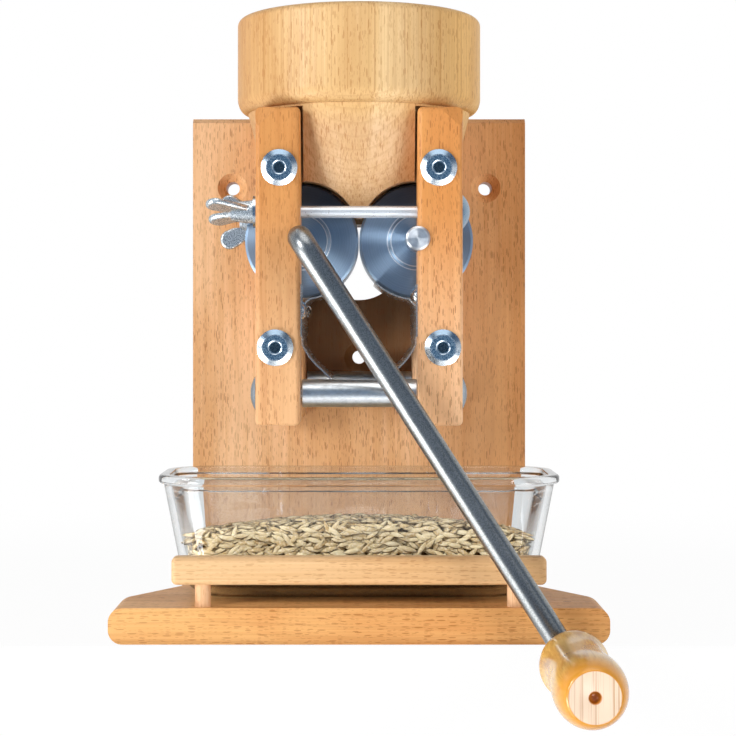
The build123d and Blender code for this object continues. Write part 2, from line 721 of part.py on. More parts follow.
# ---- Wing nuts: turned hub with two lobed wings ----------------------------------------------
with BuildPart() as one_wing:
    with BuildSketch():
        with Locations((nut_wing_root, nut_lobe_reach / 4)):
            Circle(nut_wing_root)
        with Locations((nut_lobe_rise, nut_lobe_reach)):
            Circle(nut_lobe_radius)
        make_hull()
    extrude(amount=nut_wing_thick / 2, both=True)
    fillet(one_wing.faces().filter_by(Axis.Z).edges(), nut_wing_round)


def build_wing_nut(name, rod_y, turn):
    """A wing nut on the left end of a clamp rod; turn is the wings' angle from upright."""
    seat = Plane(origin=(washer_face, rod_y, clamp_rod_z), x_dir=(-1, 0, 0), z_dir=(0, 1, 0))
    with BuildPart() as nut:
        with BuildSketch(seat):
            with BuildLine():
                Polyline(
                    (0, 0), (0, nut_hub_diameter / 2), (nut_hub_length, nut_hub_end_diameter / 2),
                    (nut_hub_length, 0), close=True,
                )
            make_face()
        revolve(axis=Axis((0, rod_y, clamp_rod_z), (1, 0, 0)))
        with Locations(seat.rotated((turn, 0, 0)), seat.rotated((turn + 180, 0, 0))):
            add(one_wing.part)
        with BuildSketch(Plane.YZ.offset(washer_face)):
            with Locations((rod_y, clamp_rod_z)):
                Circle(clamp_rod_diameter / 2 + nut_room)
        extrude(amount=-nut_lobe_rise - nut_lobe_radius, mode=Mode.SUBTRACT)
    finish(nut, name)


build_wing_nut("wing_nut_front", front_rod_y, front_nut_turn)
build_wing_nut("wing_nut_rear", rear_clamp_y, rear_nut_turn)


# ---- Scrapers: one bent sheet per side is blade, flange and chute ----------------------------
def build_scraper(name, side, screw_z):
    """Sheet that scrapes a roller from below and guides the flakes into the dish."""
    arc_radius = roller_radius + blade_gap + sheet_thick / 2
    tip_angle = radians(blade_tip_angle)
    root_angle = radians(blade_root_angle)

    def on_arc(angle):
        return (side * (roller_axis_x - arc_radius * sin(angle)),
                roller_axis_z - arc_radius * cos(angle))

    def from_foot(place):
        return (side * (flange_x - place[0]), flange_foot_z - place[1])

    with BuildPart() as scraper:
        with BuildSketch(facing_front(board_front - sheet_inset)):
            with BuildLine() as centre_line:
                ThreePointArc(
                    on_arc(tip_angle), on_arc((tip_angle + root_angle) / 2), on_arc(root_angle),
                )
                Polyline(on_arc(root_angle), (side * flange_x, blade_root_z),
                         (side * flange_x, flange_foot_z))
                ThreePointArc(
                    (side * flange_x, flange_foot_z), from_foot(chute_mid), from_foot(chute_knee),
                )
                Line(from_foot(chute_knee), from_foot(chute_lip))
            trace(line_width=sheet_thick)
        extrude(amount=board_front - front_y - 2 * sheet_inset)
        for near, far in (
            (front_y + ear_inset, front_y + sheet_inset + ear_lap),
            (board_front - sheet_inset - ear_lap, board_front - ear_inset),
        ):
            with BuildSketch(Plane.YZ.offset(side * post_inner)):
                with Locations(((near + far) / 2, (ear_bottom_z + ear_top_z) / 2)):
                    Rectangle(far - near, ear_top_z - ear_bottom_z)
            extrude(amount=-side * sheet_thick)
        with BuildSketch(Plane.YZ.offset(side * post_inner)):
            with Locations((front_y + screw_inset, screw_z), (board_front - screw_inset, screw_z)):
                Circle(screw_diameter / 2)
        extrude(amount=-side * sheet_thick, mode=Mode.SUBTRACT)
    finish(scraper, name)


def build_scraper_screws(name, side, screw_z):
    """Two dome head screws through a scraper's ears into its posts."""
    seat = post_inner - sheet_thick
    with BuildPart() as one_screw:
        with BuildSketch(Plane.XZ):
            with BuildLine():
                head_top = (-screw_head_thick, 0)
                head_edge = (0, screw_head_diameter / 2)
                Polyline(
                    head_top, (screw_length, 0), (screw_length, screw_diameter / 2),
                    (0, screw_diameter / 2), head_edge,
                )
                TangentArc(head_top, head_edge, tangent=(0, 1))
            make_face()
        revolve(axis=Axis.X)
    turn = 0 if side > 0 else 180
    with BuildPart() as screws:
        with Locations(
            Location((side * seat, front_y + screw_inset, screw_z), (0, 0, turn)),
            Location((side * seat, board_front - screw_inset, screw_z), (0, 0, turn)),
        ):
            add(one_screw.part)
    finish(screws, name)


for side, hand, screw_z in ((-1, "left", left_screw_z), (1, "right", right_screw_z)):
    build_scraper(f"scraper_{hand}", side, screw_z)
    build_scraper_screws(f"scraper_screws_{hand}", side, screw_z)

# ---- Rail in front of the dish, on two pegs --------------------------------------------------
with BuildPart() as dish_rail:
    with BuildSketch(Plane.XY.offset(rail_bottom)):
        with Locations((0, rail_y)):
            Rectangle(rail_width, rail_depth)
    extrude(amount=rail_height)
    fillet(dish_rail.edges(), rail_round)
    with BuildSketch(Plane.XY.offset(rail_bottom)):
        with Locations((-peg_x, rail_y), (peg_x, rail_y)):
            Circle(peg_diameter / 2)
    extrude(amount=peg_in_rail, mode=Mode.SUBTRACT)
finish(dish_rail, "dish_rail")

with BuildPart() as rail_pegs:
    with BuildSketch(Plane.XY.offset(base_thick - peg_in_base)):
        with Locations((-peg_x, rail_y), (peg_x, rail_y)):
            Circle(peg_diameter / 2)
    extrude(amount=peg_in_base + rail_bottom - base_thick + peg_in_rail)
finish(rail_pegs, "rail_pegs")

# ---- Wood screws from below into the back board ----------------------------------------------
with BuildPart() as one_wood_screw:
    sink = (wood_screw_head - wood_screw_diameter) / 2
    with BuildSketch(Plane.XZ):
        with BuildLine():
            Polyline(
                (0, 0), (wood_screw_head / 2, 0), (wood_screw_diameter / 2, sink),
                (wood_screw_diameter / 2, wood_screw_length - wood_screw_tip),
                (0, wood_screw_length), close=True,
            )
        make_face()
    revolve(axis=Axis.Z)

with BuildPart() as base_screws:
    with Locations((0, board_mid, 0)):
        with GridLocations(wood_screw_spacing, 0, 3, 1):
            add(one_wood_screw.part)
finish(base_screws, "base_screws")

# ---- Glass dish: flared walls, big foot radius, thick rim ------------------------------------
flare = tan(radians(dish_flare))
foot_width = dish_rim_width - 2 * dish_lip - 2 * dish_height * flare
foot_depth = dish_rim_depth - 2 * dish_lip - 2 * dish_height * flare
foot_corner = dish_corner - dish_lip - dish_height * flare
dish_top = base_thick + dish_height


def build_dish_form(inset, top):
    """The dish's flared outside, moved inwards by inset, from its floor up to height top."""
    shift = inset * flare - inset / cos(radians(dish_flare))
    floor_z = base_thick + inset
    with BuildPart() as form:
        with BuildSketch(Plane.XY.offset(floor_z)):
            with Locations((0, dish_y)):
                RectangleRounded(
                    foot_width + 2 * shift, foot_depth + 2 * shift, foot_corner + shift,
                )
        extrude(amount=top - floor_z, taper=-dish_flare)
        fillet(form.faces().sort_by(Axis.Z)[0].edges(), dish_foot_round - inset)
    return form.part


with BuildPart() as glass_dish:
    add(build_dish_form(0, dish_top))
    with BuildSketch(Plane.XY.offset(dish_top - dish_lip_height)):
        with Locations((0, dish_y)):
            RectangleRounded(dish_rim_width, dish_rim_depth, dish_corner)
    extrude(amount=dish_lip_height)
    add(build_dish_form(dish_wall, dish_top + overcut), mode=Mode.SUBTRACT)
finish(glass_dish, "glass_dish")

# ---- Grain heap in the dish ------------------------------------------------------------------
with BuildPart() as grain_heap:
    add(build_dish_form(dish_wall + heap_gap, dish_top))
    with Locations((0, dish_y + heap_peak_back, heap_peak_z - heap_radius)):
        Sphere(heap_radius, mode=Mode.INTERSECT)
finish(grain_heap, "grain_heap")
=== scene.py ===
import math

import bpy
import numpy as np
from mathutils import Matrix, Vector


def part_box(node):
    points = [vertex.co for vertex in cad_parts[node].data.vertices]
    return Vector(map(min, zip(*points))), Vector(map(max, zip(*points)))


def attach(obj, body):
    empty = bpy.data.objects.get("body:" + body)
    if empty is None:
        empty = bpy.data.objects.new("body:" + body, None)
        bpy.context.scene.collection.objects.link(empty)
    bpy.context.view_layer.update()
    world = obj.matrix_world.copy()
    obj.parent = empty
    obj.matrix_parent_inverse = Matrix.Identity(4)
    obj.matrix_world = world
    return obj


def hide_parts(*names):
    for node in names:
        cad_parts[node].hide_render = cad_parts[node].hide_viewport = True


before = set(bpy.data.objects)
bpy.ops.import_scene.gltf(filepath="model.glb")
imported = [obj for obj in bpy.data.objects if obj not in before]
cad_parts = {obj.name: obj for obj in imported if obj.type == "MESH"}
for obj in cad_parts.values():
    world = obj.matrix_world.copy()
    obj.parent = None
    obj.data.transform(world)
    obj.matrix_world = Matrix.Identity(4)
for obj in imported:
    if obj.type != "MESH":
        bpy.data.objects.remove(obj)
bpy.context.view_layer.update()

# Hand crank grain flaker. X to the right, Y from the front edge to the back board, Z up, metres.
# Sections: shared values, node helpers, finishes, surfaces, pieces, stage, light and camera.

# ---- Shared values --------------------------------------------------------------------------
MM = 0.001
PLANT = np.random.default_rng(41)

BASE_TOP = 18 * MM
ROLLER_AXIS_X = 29.1 * MM
ROLLER_AXIS_Z = 200.6 * MM

DISH_Y = -17.25 * MM
DISH_RIM_WIDTH = 205 * MM
DISH_RIM_DEPTH = 81.5 * MM
DISH_HEIGHT = 63.7 * MM
DISH_FLARE = math.tan(math.radians(10.6))
DISH_WALL = 4 * MM
DISH_LIP = 1.6 * MM
DISH_LIP_HEIGHT = 4.5 * MM
DISH_CORNER = 24 * MM
DISH_FOOT_ROUND = 18 * MM

grip_low, grip_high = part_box("crank_grip")
GRIP_X = (grip_low[0] + grip_high[0]) / 2
GRIP_Z = (grip_low[2] + grip_high[2]) / 2
GRIP_FRONT = grip_low[1]
GRIP_LENGTH = 80
UPPER_CAP_X = 39.4 * MM
LOWER_CAP_X = 41.4 * MM
UPPER_CAP_Z = 235.5 * MM
LOWER_CAP_Z = 146.6 * MM
CAP_MIDDLE_Z = (UPPER_CAP_Z + LOWER_CAP_Z) / 2
CAP_HALF_SPACING = (UPPER_CAP_Z - LOWER_CAP_Z) / 2

HEAP_RADIUS = 420 * MM
HEAP_CENTRE_Y = -9.25 * MM
HEAP_CENTRE_Z = -359.5 * MM
KERNELS_ON_TOP = 1050
KERNELS_AT_WALL = 2100
KERNEL_TILT = 0.18
KERNEL_STATIONS = 5
KERNEL_AROUND = 6
CREASE_LINE = [1.0, 0.0, 0.2, 0.7, 0.0, 0.1]    # how dark the crease is, round a kernel


# ---- Node helpers ---------------------------------------------------------------------------
def add_node(tree, kind, inputs=None, **settings):
    """Make a node, set its properties, and link or set each named input."""
    node = tree.nodes.new("ShaderNode" + kind)
    for key, value in settings.items():
        setattr(node, key, value)
    for key, value in (inputs or {}).items():
        socket = node.inputs[key]
        if isinstance(value, bpy.types.NodeSocket):
            tree.links.new(value, socket)
        else:
            socket.default_value = value
    return node


def colour(hex_code):
    """Linear RGBA of a six-digit sRGB code."""
    parts = [int(hex_code[i:i + 2], 16) / 255 for i in (0, 2, 4)]
    linear = [c / 12.92 if c <= 0.04045 else ((c + 0.055) / 1.055) ** 2.4 for c in parts]
    return (*linear, 1.0)


def new_finish(name):
    """A material whose tree holds a Principled shader, its output and Object coordinates."""
    material = bpy.data.materials.new(name)
    material.use_nodes = True
    tree = material.node_tree
    tree.nodes.clear()
    shader = add_node(tree, "BsdfPrincipled")
    add_node(tree, "OutputMaterial", {"Surface": shader.outputs["BSDF"]})
    place = add_node(tree, "TexCoord").outputs["Object"]
    return material, tree, shader, place


def stretched(tree, place, scale, shift=(0, 0, 0)):
    """Coordinates scaled and then shifted by a Mapping node."""
    return add_node(tree, "Mapping", {"Vector": place, "Scale": scale,
                                      "Location": shift}).outputs["Vector"]


def noise(tree, vector, detail, roughness, distortion=0.0):
    """Cloudy noise from 0 to 1, with one cloud per unit of the vector."""
    return add_node(tree, "TexNoise", {"Vector": vector, "Scale": 1.0, "Detail": detail,
                                       "Roughness": roughness,
                                       "Distortion": distortion}).outputs["Fac"]


def ramp(tree, value, low, high, out_low=0.0, out_high=1.0):
    """Value mapped smoothly from low..high to out_low..out_high."""
    return add_node(tree, "MapRange", {"Value": value, "From Min": low, "From Max": high,
                                       "To Min": out_low, "To Max": out_high},
                    interpolation_type="SMOOTHSTEP").outputs["Result"]


def mix_colour(tree, factor, first, second, blend="MIX"):
    """Two colours mixed by a factor; each of the three is a socket or a plain value."""
    node = add_node(tree, "Mix", data_type="RGBA", blend_type=blend)
    for index, value in ((0, factor), (6, first), (7, second)):
        if isinstance(value, bpy.types.NodeSocket):
            tree.links.new(value, node.inputs[index])
        else:
            node.inputs[index].default_value = value
    return node.outputs[2]


def math_node(tree, operation, first, second=0.0):
    """Result of one Math node on one or two values."""
    return add_node(tree, "Math", {0: first, 1: second}, operation=operation).outputs[0]


def set_bump(tree, shader, height, distance, strength):
    """Relief from a height, its full depth the distance, on the shader's normal."""
    bump = add_node(tree, "Bump", {"Height": height, "Distance": distance, "Strength": strength})
    tree.links.new(bump.outputs["Normal"], shader.inputs["Normal"])


# ---- Finishes -------------------------------------------------------------------------------
def beech(name, light, dark, fleck, grain, shift, pith, rings, ring_gap, flecks=0.6, lines=0.1,
          shine=0.3, tints=(), painted_shadow_field=None):
    """Beech. Growth rings are circles of even gap around the pith line, which runs along the
    grain; tone bands and fine streaks are drawn out along it. The short dark flecks are the
    middles of long narrow cells, and reach further from front to back than they are wide. Each
    tint (axis, start, end, colour) multiplies the wood's colour more and more between two
    places on an axis; the painted shadow field (half width, low, high, back, colour) does so in
    one soft-edged field of the front, as painted shade. Places, gaps and widths are in
    millimetres."""
    material, tree, shader, place = new_finish(name)
    along = {"X": 0, "Y": 1, "Z": 2}[grain]

    def scale(across, length, depth=None):
        values = [across, across if depth is None else depth, across]
        values[along] = length
        return values

    bands = noise(tree, stretched(tree, place, scale(34, 5), shift=shift), 3, 0.6, 0.5)
    streaks = noise(tree, stretched(tree, place, scale(900, 14), shift=shift), 4, 0.6, 0.2)
    across = [1, 1, 1]
    across[along] = 0.04
    centre = [-value * MM for value in pith]
    flat = stretched(tree, place, across, shift=centre)
    reach = add_node(tree, "VectorMath", {0: flat}, operation="LENGTH").outputs["Value"]
    wander = noise(tree, stretched(tree, place, scale(26, 8), shift=shift), 2, 0.5)
    count = math_node(tree, "ADD", math_node(tree, "DIVIDE", reach, ring_gap * MM),
                      math_node(tree, "MULTIPLY", wander, 1.6))
    year = math_node(tree, "FRACT", count)
    late = math_node(tree, "MULTIPLY", ramp(tree, year, 0.66, 0.92),
                     ramp(tree, year, 0.94, 1.0, 1.0, 0.0))
    tone = math_node(tree, "ADD", math_node(tree, "MULTIPLY", bands, 0.7),
                     math_node(tree, "MULTIPLY", streaks, 0.3))
    body = mix_colour(tree, ramp(tree, tone, 0.36, 0.62), colour(light), colour(dark))
    fine = noise(tree, stretched(tree, place, scale(1300, 5), shift=shift), 2, 0.5)
    drawn = math_node(tree, "MAXIMUM", math_node(tree, "MULTIPLY", late, rings),
                      ramp(tree, fine, 0.5, 0.72, 0.0, lines))
    aged = mix_colour(tree, drawn, body, colour(fleck))
    for axis, start, end, hue in tints:
        spot = add_node(tree, "SeparateXYZ", {0: place}).outputs[axis]
        aged = mix_colour(tree, ramp(tree, spot, start * MM, end * MM), aged, colour(hue),
                          "MULTIPLY")
    # Painted shade: one soft-edged field darkens the board's front between the posts, behind the
    # rollers.
    if painted_shadow_field:
        half_width, low, high, back, hue = painted_shadow_field
        parts = add_node(tree, "SeparateXYZ", {0: place}).outputs
        beside = math_node(tree, "ABSOLUTE", parts["X"])
        field = ramp(tree, beside, (half_width - 4) * MM, (half_width + 4) * MM, 1.0, 0.0)
        for value, start, end, first, last in ((parts["Z"], low - 6, low + 6, 0.0, 1.0),
                                               (parts["Z"], high - 6, high + 6, 1.0, 0.0),
                                               (parts["Y"], back - 3, back, 1.0, 0.0)):
            field = math_node(tree, "MULTIPLY", field,
                              ramp(tree, value, start * MM, end * MM, first, last))
        aged = mix_colour(tree, field, aged, colour(hue), "MULTIPLY")

    marks = None
    for width, length, half, weight in ((1150, 170, 0.40, 1.0), (1900, 330, 0.42, 0.6)):
        cells = add_node(tree, "TexVoronoi", {
            "Vector": stretched(tree, place, scale(width, length, width * 0.4), shift=shift),
            "Scale": 1.0, "Randomness": 1.0})
        bright = add_node(tree, "SeparateColor", {0: cells.outputs["Color"]}).outputs[0]
        size = ramp(tree, bright, 0.15, 1.0, 0.0, half)
        mark = math_node(tree, "LESS_THAN", cells.outputs["Distance"], size)
        soft = math_node(tree, "MULTIPLY", mark, weight)
        marks = soft if marks is None else math_node(tree, "MAXIMUM", marks, soft)
    worn = ramp(tree, bands, 0.25, 0.6, 0.55, 1.0)
    share = math_node(tree, "MULTIPLY", math_node(tree, "MULTIPLY", marks, worn), flecks)
    tree.links.new(mix_colour(tree, share, aged, colour(fleck)), shader.inputs["Base Color"])
    tree.links.new(ramp(tree, streaks, 0.3, 0.7, 0.37, 0.52), shader.inputs["Roughness"])
    shader.inputs["Specular IOR Level"].default_value = shine
    relief = math_node(tree, "SUBTRACT", math_node(tree, "MULTIPLY", streaks, 0.6), share)
    set_bump(tree, shader, relief, 0.1 * MM, 0.5)
    return material


def lacquered_grip(name):
    """Honey lacquer over turned beech. The sawn front end, inside its rounded edge, is bare and
    pale with upright grain lines, and the bore and its rim are dark."""
    material, tree, shader, place = new_finish(name)
    flat = stretched(tree, place, (1, 0, 1), shift=(-GRIP_X, 0, -GRIP_Z))
    reach = add_node(tree, "VectorMath", {0: flat}, operation="LENGTH").outputs["Value"]
    depth = add_node(tree, "SeparateXYZ", {0: place}).outputs["Y"]
    bands = noise(tree, stretched(tree, place, (120, 22, 120), shift=(0.2, 0, 0)), 4, 0.6, 0.8)
    streaks = noise(tree, stretched(tree, place, (700, 40, 700)), 4, 0.6)
    tone = math_node(tree, "ADD", math_node(tree, "MULTIPLY", bands, 0.7),
                     math_node(tree, "MULTIPLY", streaks, 0.3))
    honey = mix_colour(tree, ramp(tree, tone, 0.38, 0.64), colour("dcb05c"), colour("b5813a"))
    near = ramp(tree, depth, GRIP_FRONT + 1.5 * MM, GRIP_FRONT + 13 * MM, 0.9, 0.0)
    amber = mix_colour(tree, near, honey, colour("dd9423"))
    lines = noise(tree, stretched(tree, place, (1700, 3, 18)), 3, 0.6)
    pale = mix_colour(tree, ramp(tree, lines, 0.5, 0.66), colour("f0d6bd"), colour("cfa886"))
    sawn = math_node(tree, "MULTIPLY",
                     ramp(tree, depth, GRIP_FRONT + 0.5 * MM, GRIP_FRONT + 0.9 * MM, 1.0, 0.0),
                     ramp(tree, reach, 11.5 * MM, 11.9 * MM, 1.0, 0.0))
    whole = mix_colour(tree, sawn, amber, pale)
    rim = ramp(tree, reach, 2.8 * MM, 3.3 * MM, 0.85, 0.0)
    tree.links.new(mix_colour(tree, rim, whole, colour("c57c30")), shader.inputs["Base Color"])
    rough = ramp(tree, sawn, 0.0, 1.0, 0.26, 0.6)
    tree.links.new(rough, shader.inputs["Roughness"])
    shader.inputs["Coat Weight"].default_value = 0.35
    shader.inputs["Coat Roughness"].default_value = 0.1
    set_bump(tree, shader, streaks, 0.08 * MM, 0.4)
    return material


def metal_finish(name, tint, roughness, spread, grain, stretch=(1, 1, 1), relief=0.01,
                 mottle=0.12, speckle=0.15, metal=1.0, edge=0.0, head=None):
    """Metal with a slow mottle in its tint and fine speckles in its tint, roughness and relief.
    Where the surface turns away from the eye its tint is darker by the edge share, as painted
    shade. A head (place on X, colour) is bare metal of its own tint from there on."""
    material, tree, shader, place = new_finish(name)
    fine = noise(tree, stretched(tree, place, [grain * s for s in stretch]), 3, 0.6)
    cloud = noise(tree, stretched(tree, place, (70, 70, 70)), 3, 0.6)
    shade = math_node(tree, "ADD",
                      math_node(tree, "MULTIPLY", ramp(tree, cloud, 0.3, 0.7), mottle),
                      math_node(tree, "MULTIPLY", ramp(tree, fine, 0.42, 0.62), speckle))
    darker = tuple(c * 0.35 for c in colour(tint)[:3]) + (1,)
    whole = mix_colour(tree, shade, colour(tint), darker)
    if edge:
        # Painted shade: darker where the surface turns away from the eye.
        facing = add_node(tree, "LayerWeight", {"Blend": 0.5}).outputs["Facing"]
        whole = mix_colour(tree, ramp(tree, facing, 0.35, 0.85, 0.0, edge), whole,
                           colour("1d2830"))
    shader.inputs["Metallic"].default_value = metal
    if head:
        across = add_node(tree, "SeparateXYZ", {0: place}).outputs["X"]
        there = math_node(tree, "GREATER_THAN", across, head[0] * MM)
        whole = mix_colour(tree, there, whole, colour(head[1]))
        tree.links.new(ramp(tree, there, 0, 1, metal, 1.0), shader.inputs["Metallic"])
    tree.links.new(whole, shader.inputs["Base Color"])
    tree.links.new(ramp(tree, fine, 0.3, 0.7, roughness - spread, roughness + spread),
                   shader.inputs["Roughness"])
    set_bump(tree, shader, fine, relief * MM, 0.5)
    return material


def turned_finish(name, centre_x, tint, roughness, pitch=0.35 * MM, lip=False):
    """Turned steel: fine rings around an axis that runs front to back, from the axis distance.
    The tangent points away from the axis, so light spreads into fans across the rings. With a
    lip the face has two raised rings painted bright as highlights, and painted shade darkens it
    upwards, towards the hopper's mouth."""
    material, tree, shader, place = new_finish(name)
    flat = stretched(tree, place, (1, 0, 1), shift=(-centre_x, 0, -ROLLER_AXIS_Z))
    radius = add_node(tree, "VectorMath", {0: flat}, operation="LENGTH").outputs["Value"]
    rings = add_node(tree, "TexNoise", {"W": math_node(tree, "DIVIDE", radius, pitch),
                                        "Scale": 1.0, "Detail": 2.0}, noise_dimensions="1D")
    cloud = noise(tree, stretched(tree, place, (90, 90, 90)), 3, 0.6)
    tone = ramp(tree, rings.outputs["Fac"], 0.3, 0.7, 0.0, 0.4)
    darker = tuple(c * 0.6 for c in colour(tint)[:3]) + (1,)
    whole = mix_colour(tree, tone, colour(tint), darker)
    height = math_node(tree, "MULTIPLY", rings.outputs["Fac"], 0.01)
    if lip:
        # Painted shade: the face darkens upwards, towards the hopper's mouth.
        up = add_node(tree, "SeparateXYZ", {0: flat}).outputs["Z"]
        whole = mix_colour(tree, ramp(tree, up, 11 * MM, 20 * MM, 0.0, 0.8), whole,
                           colour("3a322e"))
        # Painted highlights: two raised rings, whose relief is real, are painted near white.
        for start in (12.5, 14.3):
            edge = math_node(tree, "MULTIPLY", ramp(tree, radius, start * MM, (start + 0.3) * MM),
                             ramp(tree, radius, (start + 0.5) * MM, (start + 0.8) * MM, 1.0, 0.0))
            height = math_node(tree, "ADD", height, math_node(tree, "MULTIPLY", edge, 0.3))
            share = math_node(tree, "MULTIPLY", edge, 0.75)
            whole = mix_colour(tree, share, whole, colour("f4f8fb"))
    tree.links.new(whole, shader.inputs["Base Color"])
    shader.inputs["Metallic"].default_value = 1.0
    shader.inputs["Anisotropic"].default_value = 0.85
    outward = add_node(tree, "VectorTransform", {0: flat}, vector_type="VECTOR",
                       convert_from="OBJECT", convert_to="WORLD").outputs[0]
    unit = add_node(tree, "VectorMath", {0: outward}, operation="NORMALIZE").outputs["Vector"]
    tree.links.new(unit, shader.inputs["Tangent"])
    tree.links.new(ramp(tree, cloud, 0.3, 0.7, roughness - 0.04, roughness + 0.06),
                   shader.inputs["Roughness"])
    set_bump(tree, shader, height, 1 * MM, 0.6)
    return material


def cap_finish(name):
    """Zinc on the bolt heads: bluish face inside a thin ring painted bright as a highlight, a
    bevel painted pale as a highlight and darker at its top as painted shade, and a ring painted
    bright as a highlight round the socket, whose inside is painted dark as shade, each by its
    distance from the nearest bolt's axis."""
    material, tree, shader, place = new_finish(name)
    split = add_node(tree, "SeparateXYZ", {0: place})
    height = math_node(tree, "SUBTRACT", split.outputs["Z"], CAP_MIDDLE_Z)
    upper = math_node(tree, "GREATER_THAN", height, 0.0)
    axis_x = ramp(tree, upper, 0, 1, LOWER_CAP_X, UPPER_CAP_X)
    across = math_node(tree, "SUBTRACT", math_node(tree, "ABSOLUTE", split.outputs["X"]), axis_x)
    up = math_node(tree, "SUBTRACT", math_node(tree, "ABSOLUTE", height), CAP_HALF_SPACING)
    flat = add_node(tree, "CombineXYZ", {"X": across, "Y": 0.0, "Z": up}).outputs[0]
    radius = add_node(tree, "VectorMath", {0: flat}, operation="LENGTH").outputs["Value"]
    fine = noise(tree, stretched(tree, place, (1300, 1300, 1300)), 3, 0.6)
    face = mix_colour(tree, ramp(tree, fine, 0.45, 0.6, 0.0, 0.35), colour("97b5c8"),
                      colour("cfdfe8"))
    # Painted highlight on the bevel and in a ring round the socket; painted shade inside the
    # socket.
    bevel = ramp(tree, radius, 6.2 * MM, 6.6 * MM)
    socket = math_node(tree, "MULTIPLY", ramp(tree, radius, 2.9 * MM, 3.1 * MM),
                       ramp(tree, radius, 3.4 * MM, 3.7 * MM, 1.0, 0.0))
    painted_deep_shade = ramp(tree, radius, 2.3 * MM, 2.9 * MM, 0.75, 0.0)
    pale = math_node(tree, "MAXIMUM", bevel, socket)
    # Painted shade: the bevel's tone is darker towards its top and lighter below.
    side = add_node(tree, "SeparateXYZ", {0: add_node(tree, "TexCoord").outputs["Normal"]})
    painted_bevel_tone = mix_colour(tree, ramp(tree, side.outputs["Z"], -0.2, 0.5), colour("dfe7ed"),
                          colour("8295a6"))
    tint = mix_colour(tree, pale, face, painted_bevel_tone)
    # Painted highlight: a thin near-white ring at the face's edge.
    thin = math_node(tree, "MULTIPLY", ramp(tree, radius, 5.9 * MM, 6.1 * MM),
                     ramp(tree, radius, 6.3 * MM, 6.5 * MM, 1.0, 0.0))
    tint = mix_colour(tree, math_node(tree, "MULTIPLY", thin, 0.8), tint, colour("ffffff"))
    tree.links.new(mix_colour(tree, painted_deep_shade, tint, colour("2c3a40")), shader.inputs["Base Color"])
    shader.inputs["Metallic"].default_value = 1.0
    tree.links.new(ramp(tree, fine, 0.3, 0.7, 0.22, 0.32), shader.inputs["Roughness"])
    slope = ramp(tree, radius, 2.9 * MM, 3.7 * MM)
    set_bump(tree, shader, slope, 0.35 * MM, 0.7)
    return material


def cast_finish(name):
    """Cast zinc: grainy mottled faces of fine bumps, bright where they stand up, and painted
    shade where they turn away from the eye.
    """
    material, tree, shader, place = new_finish(name)
    grains = noise(tree, stretched(tree, place, (1500, 1500, 1500)), 2, 0.6)
    lumps = noise(tree, stretched(tree, place, (300, 300, 300)), 2, 0.5)
    body = mix_colour(tree, ramp(tree, grains, 0.42, 0.58), colour("8b969c"), colour("e9eef1"))
    # Painted shade: darker where the faces turn away from the eye.
    facing = add_node(tree, "LayerWeight", {"Blend": 0.5}).outputs["Facing"]
    tree.links.new(mix_colour(tree, ramp(tree, facing, 0.5, 0.9, 0.0, 0.8), body,
                              colour("3c4850")), shader.inputs["Base Color"])
    shader.inputs["Metallic"].default_value = 0.85
    tree.links.new(ramp(tree, grains, 0.3, 0.7, 0.42, 0.26), shader.inputs["Roughness"])
    relief = math_node(tree, "ADD", grains, math_node(tree, "MULTIPLY", lumps, 0.8))
    set_bump(tree, shader, relief, 0.06 * MM, 0.6)
    return material


def glass_finish(name):
    """Clear soda glass, faintly smoky and darker where it is seen edge on, with a slow waviness
    of its moulded surface."""
    material, tree, shader, place = new_finish(name)
    wave = noise(tree, stretched(tree, place, (45, 45, 45)), 2, 0.5)
    facing = add_node(tree, "LayerWeight", {"Blend": 0.5}).outputs["Facing"]
    edge = ramp(tree, facing, 0.55, 0.94, 0.0, 0.95)
    smoke = (0.85, 0.87, 0.88, 1)
    tree.links.new(mix_colour(tree, edge, smoke, colour("3d4843")),
                   shader.inputs["Base Color"])
    shader.inputs["Transmission Weight"].default_value = 1.0
    shader.inputs["IOR"].default_value = 1.5
    tree.links.new(ramp(tree, wave, 0.3, 0.7, 0.0, 0.02), shader.inputs["Roughness"])
    set_bump(tree, shader, wave, 0.2 * MM, 0.4)
    return material


def oat_finish(name):
    """Dry oat: each kernel has its own tone and a dark crease, its husk is mottled, and the
    side that lies deeper in the heap and the edges turned away are darkened as painted shade."""
    material, tree, shader, place = new_finish(name)
    tone = add_node(tree, "Attribute", attribute_name="kernel_tone").outputs["Fac"]
    husk = noise(tree, stretched(tree, place, (900, 900, 900)), 3, 0.6)
    body = mix_colour(tree, tone, colour("f2dfb2"), colour("c09a5c"))
    pale = mix_colour(tree, ramp(tree, husk, 0.42, 0.66, 0.0, 0.6), body, colour("f6ead0"))
    line = add_node(tree, "Attribute", attribute_name="kernel_line").outputs["Fac"]
    # Painted shade: each kernel darkens on the side that lies deeper in the heap.
    low = add_node(tree, "Attribute", attribute_name="kernel_shade_depth").outputs["Fac"]
    drawn = mix_colour(tree, ramp(tree, line, 0.25, 1.0, 0.0, 0.6), pale, colour("7c5f2d"))
    painted_deep_shade = mix_colour(tree, ramp(tree, low, -0.15, 0.75, 0.0, 0.93), drawn, colour("3b2a10"))
    # Painted shade: edges turned away from the eye are darkened into outlines.
    facing = add_node(tree, "LayerWeight", {"Blend": 0.5}).outputs["Facing"]
    outlined = mix_colour(tree, ramp(tree, facing, 0.3, 0.8, 0.0, 0.9), painted_deep_shade,
                          colour("49350f"))
    tree.links.new(outlined, shader.inputs["Base Color"])
    tree.links.new(ramp(tree, husk, 0.3, 0.7, 0.5, 0.7), shader.inputs["Roughness"])
    set_bump(tree, shader, husk, 0.15 * MM, 0.6)
    return material


